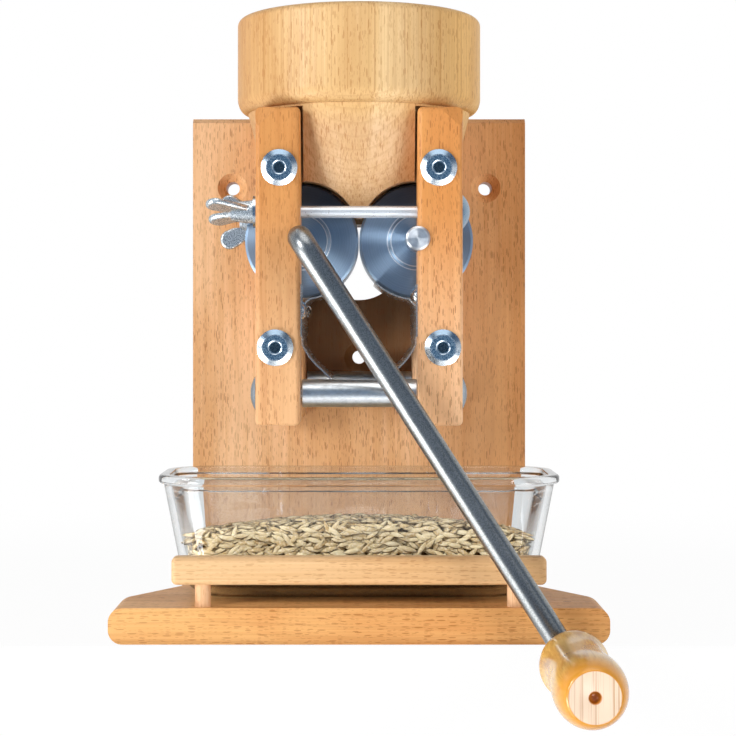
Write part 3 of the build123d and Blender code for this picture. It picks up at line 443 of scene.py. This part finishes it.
def heap_shade(name):
    """The heap's inside, seen only in the gaps between its kernels."""
    material, tree, shader, place = new_finish(name)
    dust = noise(tree, stretched(tree, place, (420, 420, 420)), 3, 0.6)
    tree.links.new(mix_colour(tree, ramp(tree, dust, 0.4, 0.6), colour("35270f"),
                              colour("5c4520")), shader.inputs["Base Color"])
    shader.inputs["Roughness"].default_value = 0.85
    shader.inputs["Specular IOR Level"].default_value = 0.1
    set_bump(tree, shader, dust, 0.6 * MM, 0.8)
    return material


finishes = {
    "base": beech("beech_base", "e3ae70", "d3965a", "9c5c26", "X", (0, 0, 0), (0, 40, -260),
                  0.15, 5, shine=0.12),
    # Painted shade on the back board: its tint darkens it towards the right, away from the key
    # light, and the painted shadow field darkens it between the posts.
    "board": beech("beech_board", "efc294", "dba570", "965a2a", "Z", (0.31, 0, 0.2),
                   (40, 230, 0), 0.1, 4.5, tints=((0, 20, 85, "f2dcc0"),),
                   painted_shadow_field=(31, 124, 215, 56, "b2a596")),
    # Painted shade on the posts: each tint darkens and warms a post upwards, in place of the
    # whiter light from below that reaches its lower part.
    "post_left": beech("beech_post_left", "e2b282", "d29a68", "9c5c28", "Z", (0.7, 0.1, 0),
                       (-90, 60, 0), 0.1, 3.2, tints=((2, 140, 235, "efd8b0"),)),
    "post_right": beech("beech_post_right", "fdd0a4", "efba8a", "9a5828", "Z",
                        (0.2, 0.9, 0.4), (120, 40, 0), 0.1, 3.2,
                        tints=((2, 130, 225, "e2c494"),)),
    # Painted shade on the hopper: the two tints along X darken the drum towards its left and
    # right sides.
    "hopper": beech("beech_hopper", "eac996", "dab27a", "a8672a", "Z", (0.5, 0.5, 0.1),
                    (4, 75, 0), 0.17, 1.6, 0.5, lines=0.4,
                    tints=((2, 268, 254, "f6f3ff"), (0, -15, -62, "e2ccb0"),
                           (0, 25, 60, "fdeabf"))),
    "rail": beech("beech_rail", "e4bd8d", "d5a672", "a66b34", "X", (0.1, 0.4, 0.8),
                  (0, -20, 160), 0.15, 4, 0.45),
    "pegs": beech("beech_pegs", "f3cba3", "e0ae80", "bd8250", "Z", (0.4, 0, 0), (0, -90, 0),
                  0.4, 1.6, 0.4),
    "grip": lacquered_grip("grip_lacquered"),
    "rod": metal_finish("crank_satin_steel", "979a9b", 0.34, 0.05, 1500, mottle=0.1,
                        speckle=0.6),
    "shaft": turned_finish("driven_shaft_turned", ROLLER_AXIS_X, "e2e6ea", 0.4, 0.9 * MM),
    "roller_left": turned_finish("left_roller_turned", -ROLLER_AXIS_X, "9bb3cc", 0.45, lip=True),
    "roller_right": turned_finish("right_roller_turned", ROLLER_AXIS_X, "9bb3cc", 0.45, lip=True),
    "sheet": metal_finish("scraper_sheet", "cfccc8", 0.24, 0.05, 500, (1, 0.05, 1), 0.002,
                          speckle=0.05, metal=0.75),
    "cross_rod": metal_finish("cross_rod_steel", "d3d7da", 0.32, 0.04, 1300, (0.3, 1, 1), 0.004,
                              mottle=0.05, speckle=0.3),
    "clamp_rod": metal_finish("clamp_rod_zinc", "eaf1f8", 0.32, 0.05, 900, relief=0.004,
                              mottle=0.05, speckle=0.08, metal=0.45,
                              head=(50, "8fa3b4")),
    "zinc": metal_finish("zinc_plate", "c3ced8", 0.2, 0.05, 900, mottle=0.06, edge=0.9),
    "caps": cap_finish("bolt_caps_zinc"),
    "cast": cast_finish("wing_nut_cast_zinc"),
    "bright": metal_finish("bright_steel", "d6d9dc", 0.2, 0.06, 900),
    "glass": glass_finish("dish_clear_glass"),
    "oats": oat_finish("oat_husks"),
    "shade": heap_shade("heap_inside"),
}

node_finish = {
    "base_board": "base", "back_board": "board",
    "front_post_left": "post_left", "rear_post_left": "post_left",
    "front_post_right": "post_right", "rear_post_right": "post_right",
    "hopper": "hopper", "left_roller": "roller_left", "right_roller": "roller_right",
    "left_roller_key": "bright", "right_roller_key": "bright", "crank_rod": "rod",
    "driven_shaft": "shaft", "crank_grip": "grip", "grip_ring": "bright",
    "frame_bolts": "caps", "sleeve_nuts": "zinc", "spacer_tube_left": "zinc",
    "spacer_tube_right": "zinc", "spacer_rod_front": "cross_rod",
    "spacer_rod_rear": "cross_rod", "rod_bolts": "zinc", "clamp_rod_front": "clamp_rod",
    "clamp_rod_rear": "clamp_rod", "clamp_washers": "zinc", "wing_nut_front": "cast",
    "wing_nut_rear": "cast", "scraper_left": "sheet", "scraper_right": "sheet",
    "scraper_screws_left": "bright", "scraper_screws_right": "bright", "dish_rail": "rail",
    "rail_pegs": "pegs", "base_screws": "zinc", "glass_dish": "glass", "grain_heap": "shade",
}
for node, finish in node_finish.items():
    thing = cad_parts[node]
    if not thing.material_slots:
        thing.data.materials.append(finishes[finish])
    for material_slot in thing.material_slots:
        material_slot.material = finishes[finish]


# ---- Surfaces -------------------------------------------------------------------------------
def mesh_object(name, points, faces, finish, smooth=True):
    """An object at the origin whose mesh holds the given points and faces."""
    mesh = bpy.data.meshes.new(name)
    mesh.from_pydata(points.tolist(), [], faces)
    mesh.polygons.foreach_set("use_smooth", np.full(len(mesh.polygons), smooth))
    mesh.materials.append(finish)
    mesh.update()
    piece = bpy.data.objects.new(name, mesh)
    bpy.context.scene.collection.objects.link(piece)
    return piece


def grid_faces(rows, columns, closed=True):
    """Quads between the neighbours of a rows by columns grid, its columns closed into a ring."""
    r = np.arange(rows - 1)[:, None]
    c = np.arange(columns if closed else columns - 1)[None, :]
    d = (c + 1) % columns
    quad = [r * columns + c, r * columns + d, (r + 1) * columns + d, (r + 1) * columns + c]
    return np.stack(np.broadcast_arrays(*quad), axis=-1).reshape(-1, 4)


def closed_tube_faces(rows, around):
    """The quads of a stack of rings, and one face over the first ring and over the last."""
    faces = grid_faces(rows, around).tolist()
    faces.append(list(range(around))[::-1])
    faces.append(list(range((rows - 1) * around, rows * around)))
    return faces


def rounded_ring(half_x, half_y, corner, steps):
    """Closed outline of a rectangle with round corners: each corner's centre plus the corner
    radius times the unit circle, the angle running through one quarter at each corner."""
    quarter = np.linspace(0, math.pi / 2, steps + 1)
    angle = np.concatenate([quarter + k * math.pi / 2 for k in range(4)])
    sign_x = np.repeat([1, -1, -1, 1], steps + 1)
    sign_y = np.repeat([1, 1, -1, -1], steps + 1)
    x = sign_x * (half_x - corner) + corner * np.cos(angle)
    y = sign_y * (half_y - corner) + corner * np.sin(angle)
    return x, y


def oat_kernel():
    """One kernel along X, length 1: at station t its radius is sin(pi t) to the power 0.62,
    drawn towards the tip, and a bell-shaped crease runs down one side. It is half as wide again
    as it is thick."""
    t = np.linspace(0.02, 0.98, KERNEL_STATIONS)
    phi = np.linspace(0, 2 * math.pi, KERNEL_AROUND, endpoint=False)
    radius = np.sin(math.pi * t) ** 0.62 * (1 - 0.25 * t)
    crease = 1 - 0.22 * np.exp(-((np.minimum(phi, 2 * math.pi - phi)) / 0.5) ** 2)
    x = np.broadcast_to((t - 0.5)[:, None], (KERNEL_STATIONS, KERNEL_AROUND))
    y = radius[:, None] * crease[None, :] * np.cos(phi)[None, :] * 0.225
    z = radius[:, None] * crease[None, :] * np.sin(phi)[None, :] * 0.15
    return np.stack([x, y, z], axis=-1).reshape(-1, 3)


def scatter_kernels(name, places, normals, yaw, rise, lengths, finish):
    """Kernels copied to places. Each has its own length, lies square to its normal in the
    direction of its yaw and rise, and has a small random tilt off that plane, all worked out
    as rotation matrices in one array. Each point keeps its depth under its kernel's middle as
    an attribute, and the crease's points are marked."""
    form = oat_kernel()
    count = len(places)
    up = normals / np.linalg.norm(normals, axis=1, keepdims=True)
    steep = 0.3 * np.sin(3 * yaw) + rise
    side = np.cross(up, np.stack([np.cos(yaw), np.sin(yaw), steep], axis=1))
    side /= np.linalg.norm(side, axis=1, keepdims=True)
    length_way = np.cross(side, up)
    lift = PLANT.normal(0, KERNEL_TILT, count)[:, None]
    length_way = length_way * np.cos(lift) + up * np.sin(lift)
    third = np.cross(length_way, side)
    turn = np.stack([length_way, side, third], axis=1)
    points = np.einsum("pj,njk->npk", form, turn) * lengths[:, None, None] + places[:, None, :]
    ring = grid_faces(KERNEL_STATIONS, KERNEL_AROUND)
    first = np.arange(KERNEL_AROUND)[::-1]
    last = (KERNEL_STATIONS - 1) * KERNEL_AROUND + np.arange(KERNEL_AROUND)
    offsets = np.arange(count) * len(form)
    quads = (ring[None] + offsets[:, None, None]).reshape(-1, 4).tolist()
    caps = np.concatenate([first[None] + offsets[:, None], last[None] + offsets[:, None]])
    piece = mesh_object(name, points.reshape(-1, 3), quads + caps.tolist(), finish)
    depth = -np.einsum("npk,nk->np", points - places[:, None, :], up)
    for key, values in (
            ("kernel_tone", np.repeat(PLANT.beta(1.6, 2.2, count), len(form))),
            ("kernel_line", np.tile(CREASE_LINE, KERNEL_STATIONS * count)),
            ("kernel_shade_depth", (depth / (0.17 * lengths[:, None])).ravel())):
        piece.data.attributes.new(key, "FLOAT", "POINT").data.foreach_set("value", values)
    return piece


# ---- Crank grip ------------------------------------------------------------------------------
def smooth_line(known_x, known_y, x):
    """Cubic through known points: each point's slope is that of the line between its
    neighbours, and each span is the cubic that meets both its ends' heights and slopes."""
    slope = np.gradient(known_y, known_x)
    span = np.clip(np.searchsorted(known_x, x) - 1, 0, len(known_x) - 2)
    width = known_x[span + 1] - known_x[span]
    t = (x - known_x[span]) / width
    return ((2 * t ** 3 - 3 * t ** 2 + 1) * known_y[span] + (t ** 3 - 2 * t ** 2 + t) * width
            * slope[span] + (3 * t ** 2 - 2 * t ** 3) * known_y[span + 1]
            + (t ** 3 - t ** 2) * width * slope[span + 1])


def grip_surface(around=72):
    """Closed turned form: a profile of distance from the rear face and radius, in millimetres,
    revolved about the spindle's axis. Inside are the spindle's bore with the spring ring's
    groove and, from the front, the small blind hole."""
    along = np.array([0, 1.5, 3.5, 5.6, 8, 12, 20, 30, 42, 53, 61, 67, 72, 76, 78.5,
                      GRIP_LENGTH])
    radius = np.array([15.9, 16.75, 17, 16.8, 16.2, 15.5, 15.0, 15.1, 15.8, 16.7, 17, 16.75,
                       15.9, 14.6, 13.3, 11.9])
    t = np.concatenate([np.linspace(0, 12, 20), np.linspace(12.6, 66, 36),
                        np.linspace(67, GRIP_LENGTH, 18)])
    outer = np.stack([t, np.minimum(smooth_line(along, radius, t), radius.max())], axis=1)
    depth, bore, groove, hole = 66.4, 6.1, 6.9, 2.75
    inner = [(depth, 0.3), (depth, bore), (55.2, bore), (55.2, groove), (52.8, groove),
             (52.8, bore), (0.1, bore), (0, bore + 0.1), (0, 15.7)]
    front = [(GRIP_LENGTH, 11.75), (GRIP_LENGTH, hole + 0.15), (GRIP_LENGTH - 0.1, hole),
             (76.4, hole), (76, 0.3)]
    profile = np.concatenate([inner, outer, front]) * MM
    angle = np.linspace(0, 2 * math.pi, around, endpoint=False)
    x = GRIP_X + profile[:, 1:] * np.cos(angle)
    z = GRIP_Z + profile[:, 1:] * np.sin(angle)
    y = np.broadcast_to(GRIP_FRONT + GRIP_LENGTH * MM - profile[:, :1], x.shape)
    points = np.stack([x, y, z], axis=-1).reshape(-1, 3)
    return points, closed_tube_faces(len(profile), around)


grip_points, grip_faces = grip_surface()
grip = mesh_object("crank_grip_turned", grip_points, grip_faces, finishes["grip"])
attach(grip, "grip")
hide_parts("crank_grip")


# ---- Glass dish ------------------------------------------------------------------------------
def dish_profile():
    """Outline of the dish's wall as pairs of inset from the rim and height over the foot. Both
    foot arcs have one centre, a foot radius above the ground and as far inside the leaning
    wall's line; the rim is a round-edged bead that stands out from the wall by the lip."""
    lean = math.atan(DISH_FLARE)
    centre = DISH_LIP + (DISH_HEIGHT - DISH_FOOT_ROUND) * DISH_FLARE
    centre += DISH_FOOT_ROUND / math.cos(lean)

    def arc(inset, height, radius, first, last, steps):
        angle = np.radians(np.linspace(first, last, steps))
        return np.stack([inset - radius * np.cos(angle), height + radius * np.sin(angle)], axis=1)

    slope = math.degrees(lean)
    under = DISH_HEIGHT - DISH_LIP_HEIGHT
    wall_inset = DISH_LIP + DISH_LIP_HEIGHT * DISH_FLARE
    inner_line = DISH_LIP + DISH_WALL / math.cos(lean)
    round_out, round_in = 1.5 * MM, 1.2 * MM
    inner = DISH_FOOT_ROUND - DISH_WALL
    return np.concatenate([
        arc(centre, DISH_FOOT_ROUND, DISH_FOOT_ROUND, -90, -slope, 11),
        [(wall_inset + 0.5 * MM * DISH_FLARE, under - 0.5 * MM)],
        [(wall_inset - 0.3 * MM, under - 0.1 * MM)],
        arc(round_out, under + round_out, round_out, -90, 0, 6),
        arc(round_out, DISH_HEIGHT - round_out, round_out, 0, 90, 6),
        arc(inner_line - round_in, DISH_HEIGHT - round_in, round_in, 90, 180 - slope, 6),
        arc(centre, DISH_FOOT_ROUND, inner, -slope, -90, 11),
    ])


def dish_surface(steps=14):
    """Closed shell: at each point of the profile the rim's outline, a rectangle with round
    corners, is drawn in by the inset; the flat floors close to the middle from both sides."""
    profile = dish_profile()
    rings = []
    for inset, height in profile:
        x, y = rounded_ring(DISH_RIM_WIDTH / 2 - inset, DISH_RIM_DEPTH / 2 - inset,
                            max(DISH_CORNER - 0.55 * inset, 4 * MM), steps)
        rings.append(np.stack([x, y + DISH_Y, 0 * x + BASE_TOP + height], axis=1))
    return np.concatenate(rings), closed_tube_faces(len(rings), len(rings[0]))


dish_points, dish_faces = dish_surface()
dish = mesh_object("glass_dish_moulded", dish_points, dish_faces, finishes["glass"])
dish.visible_shadow = False
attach(dish, "dish")
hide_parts("glass_dish")


# ---- Oat heap: a shaded inside, and kernels over its top and its sides -----------------------
def heap_height(x, y):
    """Height of the heap's rounded top over a point: the upper half of its sphere."""
    return HEAP_CENTRE_Z + np.sqrt(HEAP_RADIUS ** 2 - x ** 2 - (y - HEAP_CENTRE_Y) ** 2)


def inner_half(z, inset):
    """Half width and half depth of the dish's inside at height z, moved in by inset."""
    reach = (DISH_HEIGHT + BASE_TOP - z) * DISH_FLARE
    wall = DISH_WALL / math.cos(math.atan(DISH_FLARE)) + inset + DISH_LIP
    return DISH_RIM_WIDTH / 2 - wall - reach, DISH_RIM_DEPTH / 2 - wall - reach


def heap_inside(levels=9, steps=8):
    """Closed skin under the kernels. Each level of the wall is the dish's inside outline moved
    in by the kernels' thickness; the top levels shrink towards the middle of the heap and take
    its height, and one more point closes each end."""
    shrink = np.linspace(1, 0.06, 12)
    half_x, half_y = inner_half(50 * MM, 5.6 * MM)
    low_x, low_y = inner_half(BASE_TOP + 7 * MM, 5.2 * MM)
    rings = []
    for share in np.linspace(0, 1, levels):
        x, y = rounded_ring(low_x + share * (half_x - low_x), low_y + share * (half_y - low_y),
                            14 * MM, steps)
        edge = heap_height(x, y + DISH_Y) - 4.5 * MM
        floor = BASE_TOP + 7 * MM
        rings.append(np.stack([x, y + DISH_Y, floor + share * (edge - floor)], axis=1))
    for part in shrink:
        x, y = rounded_ring(half_x, half_y, 14 * MM, steps)
        x, y = x * part, y * part + DISH_Y
        rings.append(np.stack([x, y, heap_height(x, y) - 3.2 * MM], axis=1))
    return np.concatenate(rings), closed_tube_faces(len(rings), len(rings[0]))


def heap_kernels():
    """Kernels at random places over the heap's top, and a skin of them just inside the dish's
    walls: along a rounded outline, more of them in front, each moved in or out with the
    leaning wall, lying roughly along it and sloping up or down it, less near the floor."""
    u = PLANT.uniform(-1, 1, KERNELS_ON_TOP)
    v = PLANT.uniform(-1, 1, KERNELS_ON_TOP)
    half_x, half_y = inner_half(52 * MM, 4.4 * MM)
    x, y = u * half_x, DISH_Y + v * half_y
    z = heap_height(x, y) - PLANT.uniform(-1.6, 2.4, KERNELS_ON_TOP) * MM
    places = np.stack([x, y, z], axis=1)
    normals = np.stack([x, y - HEAP_CENTRE_Y, z - HEAP_CENTRE_Z], axis=1)
    middle = 44 * MM
    ring_x, ring_y = rounded_ring(*inner_half(middle, 0), 17 * MM, 12)
    ring_x, ring_y = np.append(ring_x, ring_x[0]), np.append(ring_y, ring_y[0])
    length = np.concatenate([[0], np.cumsum(np.hypot(np.diff(ring_x), np.diff(ring_y)))])
    way = np.linspace(0, length[-1], 1200)
    px, py = np.interp(way, length, ring_x), np.interp(way, length, ring_y)
    heading = np.arctan2(np.gradient(py), np.gradient(px))
    chance = np.where(-np.cos(heading) < -0.3, 2.4, 1.0)
    pick = PLANT.choice(len(way), KERNELS_AT_WALL, p=chance / chance.sum())
    height = PLANT.uniform(29, 60, KERNELS_AT_WALL) * MM
    out_x, out_y = np.sin(heading[pick]), -np.cos(heading[pick])
    inset = PLANT.uniform(2.0, 5.8, KERNELS_AT_WALL) * MM
    move = inner_half(height, inset)[0] - inner_half(middle, 0)[0]
    wx, wy = px[pick] + out_x * move, DISH_Y + py[pick] + out_y * move
    keep = height < heap_height(wx, wy) - 1.2 * MM
    wall_places = np.stack([wx, wy, height], axis=1)[keep]
    wall_normals = np.stack([out_x, out_y, 0 * wx - 0.15], axis=1)[keep]
    yaw = np.concatenate([PLANT.uniform(-1.2, 1.2, len(places)),
                          heading[pick][keep] + PLANT.normal(0, 0.5, len(wall_places))])
    above_floor = np.clip((height - 28 * MM) / (8 * MM), 0, 1)
    steep = PLANT.normal(0, 0.42, KERNELS_AT_WALL) * above_floor
    rise = np.concatenate([0 * x, steep[keep]])
    return (np.concatenate([places, wall_places]), np.concatenate([normals, wall_normals]), yaw,
            rise)


inside_points, inside_faces = heap_inside()
inside = mesh_object("oat_heap_inside", inside_points, inside_faces, finishes["shade"])
kernel_places, kernel_normals, kernel_yaw, kernel_rise = heap_kernels()
kernel_lengths = PLANT.uniform(7.6, 10.2, len(kernel_places)) * MM
kernels = scatter_kernels("oat_kernels", kernel_places, kernel_normals, kernel_yaw,
                          kernel_rise, kernel_lengths, finishes["oats"])
for heap_piece in (inside, kernels):
    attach(heap_piece, "dish")
    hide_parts("grain_heap")


# ---- Stage: a pale table whose front edge lies under the front of the base -------------------
def stage_surface():
    """Table top, its front edge and the low floor before it: an outline of depth and height,
    carried straight across."""
    outline = np.array([(-3.0, -0.45), (-0.0725, -0.45), (-0.0725, -0.001), (-0.0715, 0.0),
                        (2.6, 0.0)])
    across = np.array([-2.6, 2.6])
    y = np.repeat(outline[:, 0], 2)
    z = np.repeat(outline[:, 1], 2) - 0.02 * MM
    x = np.tile(across, len(outline))
    return np.stack([x, y, z], axis=1), grid_faces(len(outline), 2, closed=False).tolist()


def pale_finish():
    """Matt white for light; for the camera and glass nearly plain white, and quite plain far
    away from the object."""
    material = bpy.data.materials.new("stage_pale")
    material.use_nodes = True
    tree = material.node_tree
    tree.nodes.clear()
    rays = add_node(tree, "LightPath").outputs
    seen = math_node(tree, "MAXIMUM", rays["Is Camera Ray"], rays["Is Transmission Ray"])
    matt = add_node(tree, "BsdfDiffuse", {"Color": (0.9, 0.9, 0.9, 1)})
    glow = add_node(tree, "Emission", {"Color": (1, 1, 1, 1), "Strength": 1.0})
    place = add_node(tree, "TexCoord").outputs["Object"]
    away = add_node(tree, "VectorMath", {0: place}, operation="LENGTH").outputs["Value"]
    share = math_node(tree, "MULTIPLY", seen, ramp(tree, away, 0.2, 0.7, 0.962, 1.0))
    both = add_node(tree, "MixShader", {0: share, 1: matt.outputs[0], 2: glow.outputs[0]})
    add_node(tree, "OutputMaterial", {"Surface": both.outputs[0]})
    return material


stage_points, stage_faces = stage_surface()
table = mesh_object("stage_table", stage_points, stage_faces, pale_finish(), smooth=False)
table.visible_glossy = False


# ---- Light and camera -----------------------------------------------------------------------
def area_light(name, place, target, size, power):
    """A white rectangular lamp at a place, turned to face the target."""
    lamp = bpy.data.lights.new(name, "AREA")
    lamp.shape = "RECTANGLE"
    lamp.size, lamp.size_y = size
    lamp.energy = power
    holder = bpy.data.objects.new(name, lamp)
    holder.location = place
    way = np.array(target) - np.array(place)
    flat = math.hypot(way[0], way[1])
    holder.rotation_euler = (math.atan2(flat, -way[2]), 0, math.atan2(-way[0], way[1]))
    bpy.context.scene.collection.objects.link(holder)
    return holder


def card(tree, way, direction, low, high, strength):
    """A soft-edged bright card in the room: full where the look direction is near the card's."""
    unit = np.array(direction) / np.linalg.norm(direction)
    near = add_node(tree, "VectorMath", {0: way, 1: unit.tolist()}, operation="DOT_PRODUCT")
    return ramp(tree, near.outputs["Value"], low, high, 0.0, strength)


def white_room():
    """The room round the object: white for the camera, for glass white behind and dark at the
    sides, soft light all round, and for mirrors a dim blue front between soft-edged cards and
    a white back."""
    world = bpy.data.worlds.new("white_room")
    bpy.context.scene.world = world
    world.use_nodes = True
    tree = world.node_tree
    tree.nodes.clear()
    rays = add_node(tree, "LightPath").outputs
    way = add_node(tree, "TexCoord").outputs["Generated"]
    parts = add_node(tree, "SeparateXYZ", {0: way}).outputs
    cards = [
        card(tree, way, (-0.79, -0.32, -0.51), 0.87, 0.965, 3.6),
        card(tree, way, (0, -0.38, 0.92), 0.84, 0.95, 2.6),
        card(tree, way, (0.25, -0.5, -0.83), 0.80, 0.95, 1.0),
        card(tree, way, (0.8, -0.58, 0.05), 0.93, 0.985, 0.8),
        card(tree, way, (-0.8, -0.58, 0), 0.93, 0.985, 0.3),
        card(tree, way, (0.45, -0.68, -0.58), 0.91, 0.975, 8.0),
        ramp(tree, parts["Y"], -0.2, 0.3, 0.0, 1.0),
    ]
    bright = cards[0]
    for other in cards[1:]:
        bright = math_node(tree, "MAXIMUM", bright, other)
    mirrored = mix_colour(tree, ramp(tree, bright, 0.0, 1.0), (0.14, 0.215, 0.32, 1),
                          (1, 1, 1, 1))
    lift = math_node(tree, "MAXIMUM", bright, 1.0)
    glossy = add_node(tree, "Background", {"Color": mirrored, "Strength": lift})
    front = ramp(tree, parts["Y"], 0.2, -0.9, 0.6, 0.22)
    high = ramp(tree, parts["Z"], 0.1, 0.8, 1.0, 0.35)
    soft = math_node(tree, "MULTIPLY", front, high)
    through = ramp(tree, parts["Y"], 0.8, 0.96, 0.04, 1.0)
    lit = add_node(tree, "Mix", {0: rays["Is Transmission Ray"], 2: soft, 3: through})
    strength = math_node(tree, "MAXIMUM", rays["Is Camera Ray"], lit.outputs[0])
    plain = add_node(tree, "Background", {"Color": (1, 1, 1, 1), "Strength": strength})
    both = add_node(tree, "MixShader", {0: rays["Is Glossy Ray"], 1: plain.outputs[0],
                                        2: glossy.outputs[0]})
    add_node(tree, "OutputWorld", {"Surface": both.outputs[0]})


white_room()
area_light("key", (-1.3, -1.12, 0.62), (0, 0, 0.17), (0.6, 0.6), 19.5)
area_light("low_card", (-0.75, -0.55, -0.33), (0, 0, 0.1), (0.5, 0.3), 4.5)
for name, place, size, power in (("fill", (1.25, -1.05, 0.5), (0.8, 0.8), 12.5),
                                 ("front", (0.1, -2.3, 0.3), (1.2, 1.0), 2)):
    area_light(name, place, (0, 0, 0.15), size, power).visible_glossy = False

lens = bpy.data.cameras.new("camera")
lens.lens = 89.2
lens.sensor_width = 36
lens.shift_x = 0.0122
lens.shift_y = -0.0516
camera = bpy.data.objects.new("camera", lens)
camera.location = (0, -0.968, 0.1553)
camera.rotation_euler = (math.pi / 2, 0, 0)
bpy.context.scene.collection.objects.link(camera)
bpy.context.scene.camera = camera
bpy.context.scene.view_settings.view_transform = "Standard"
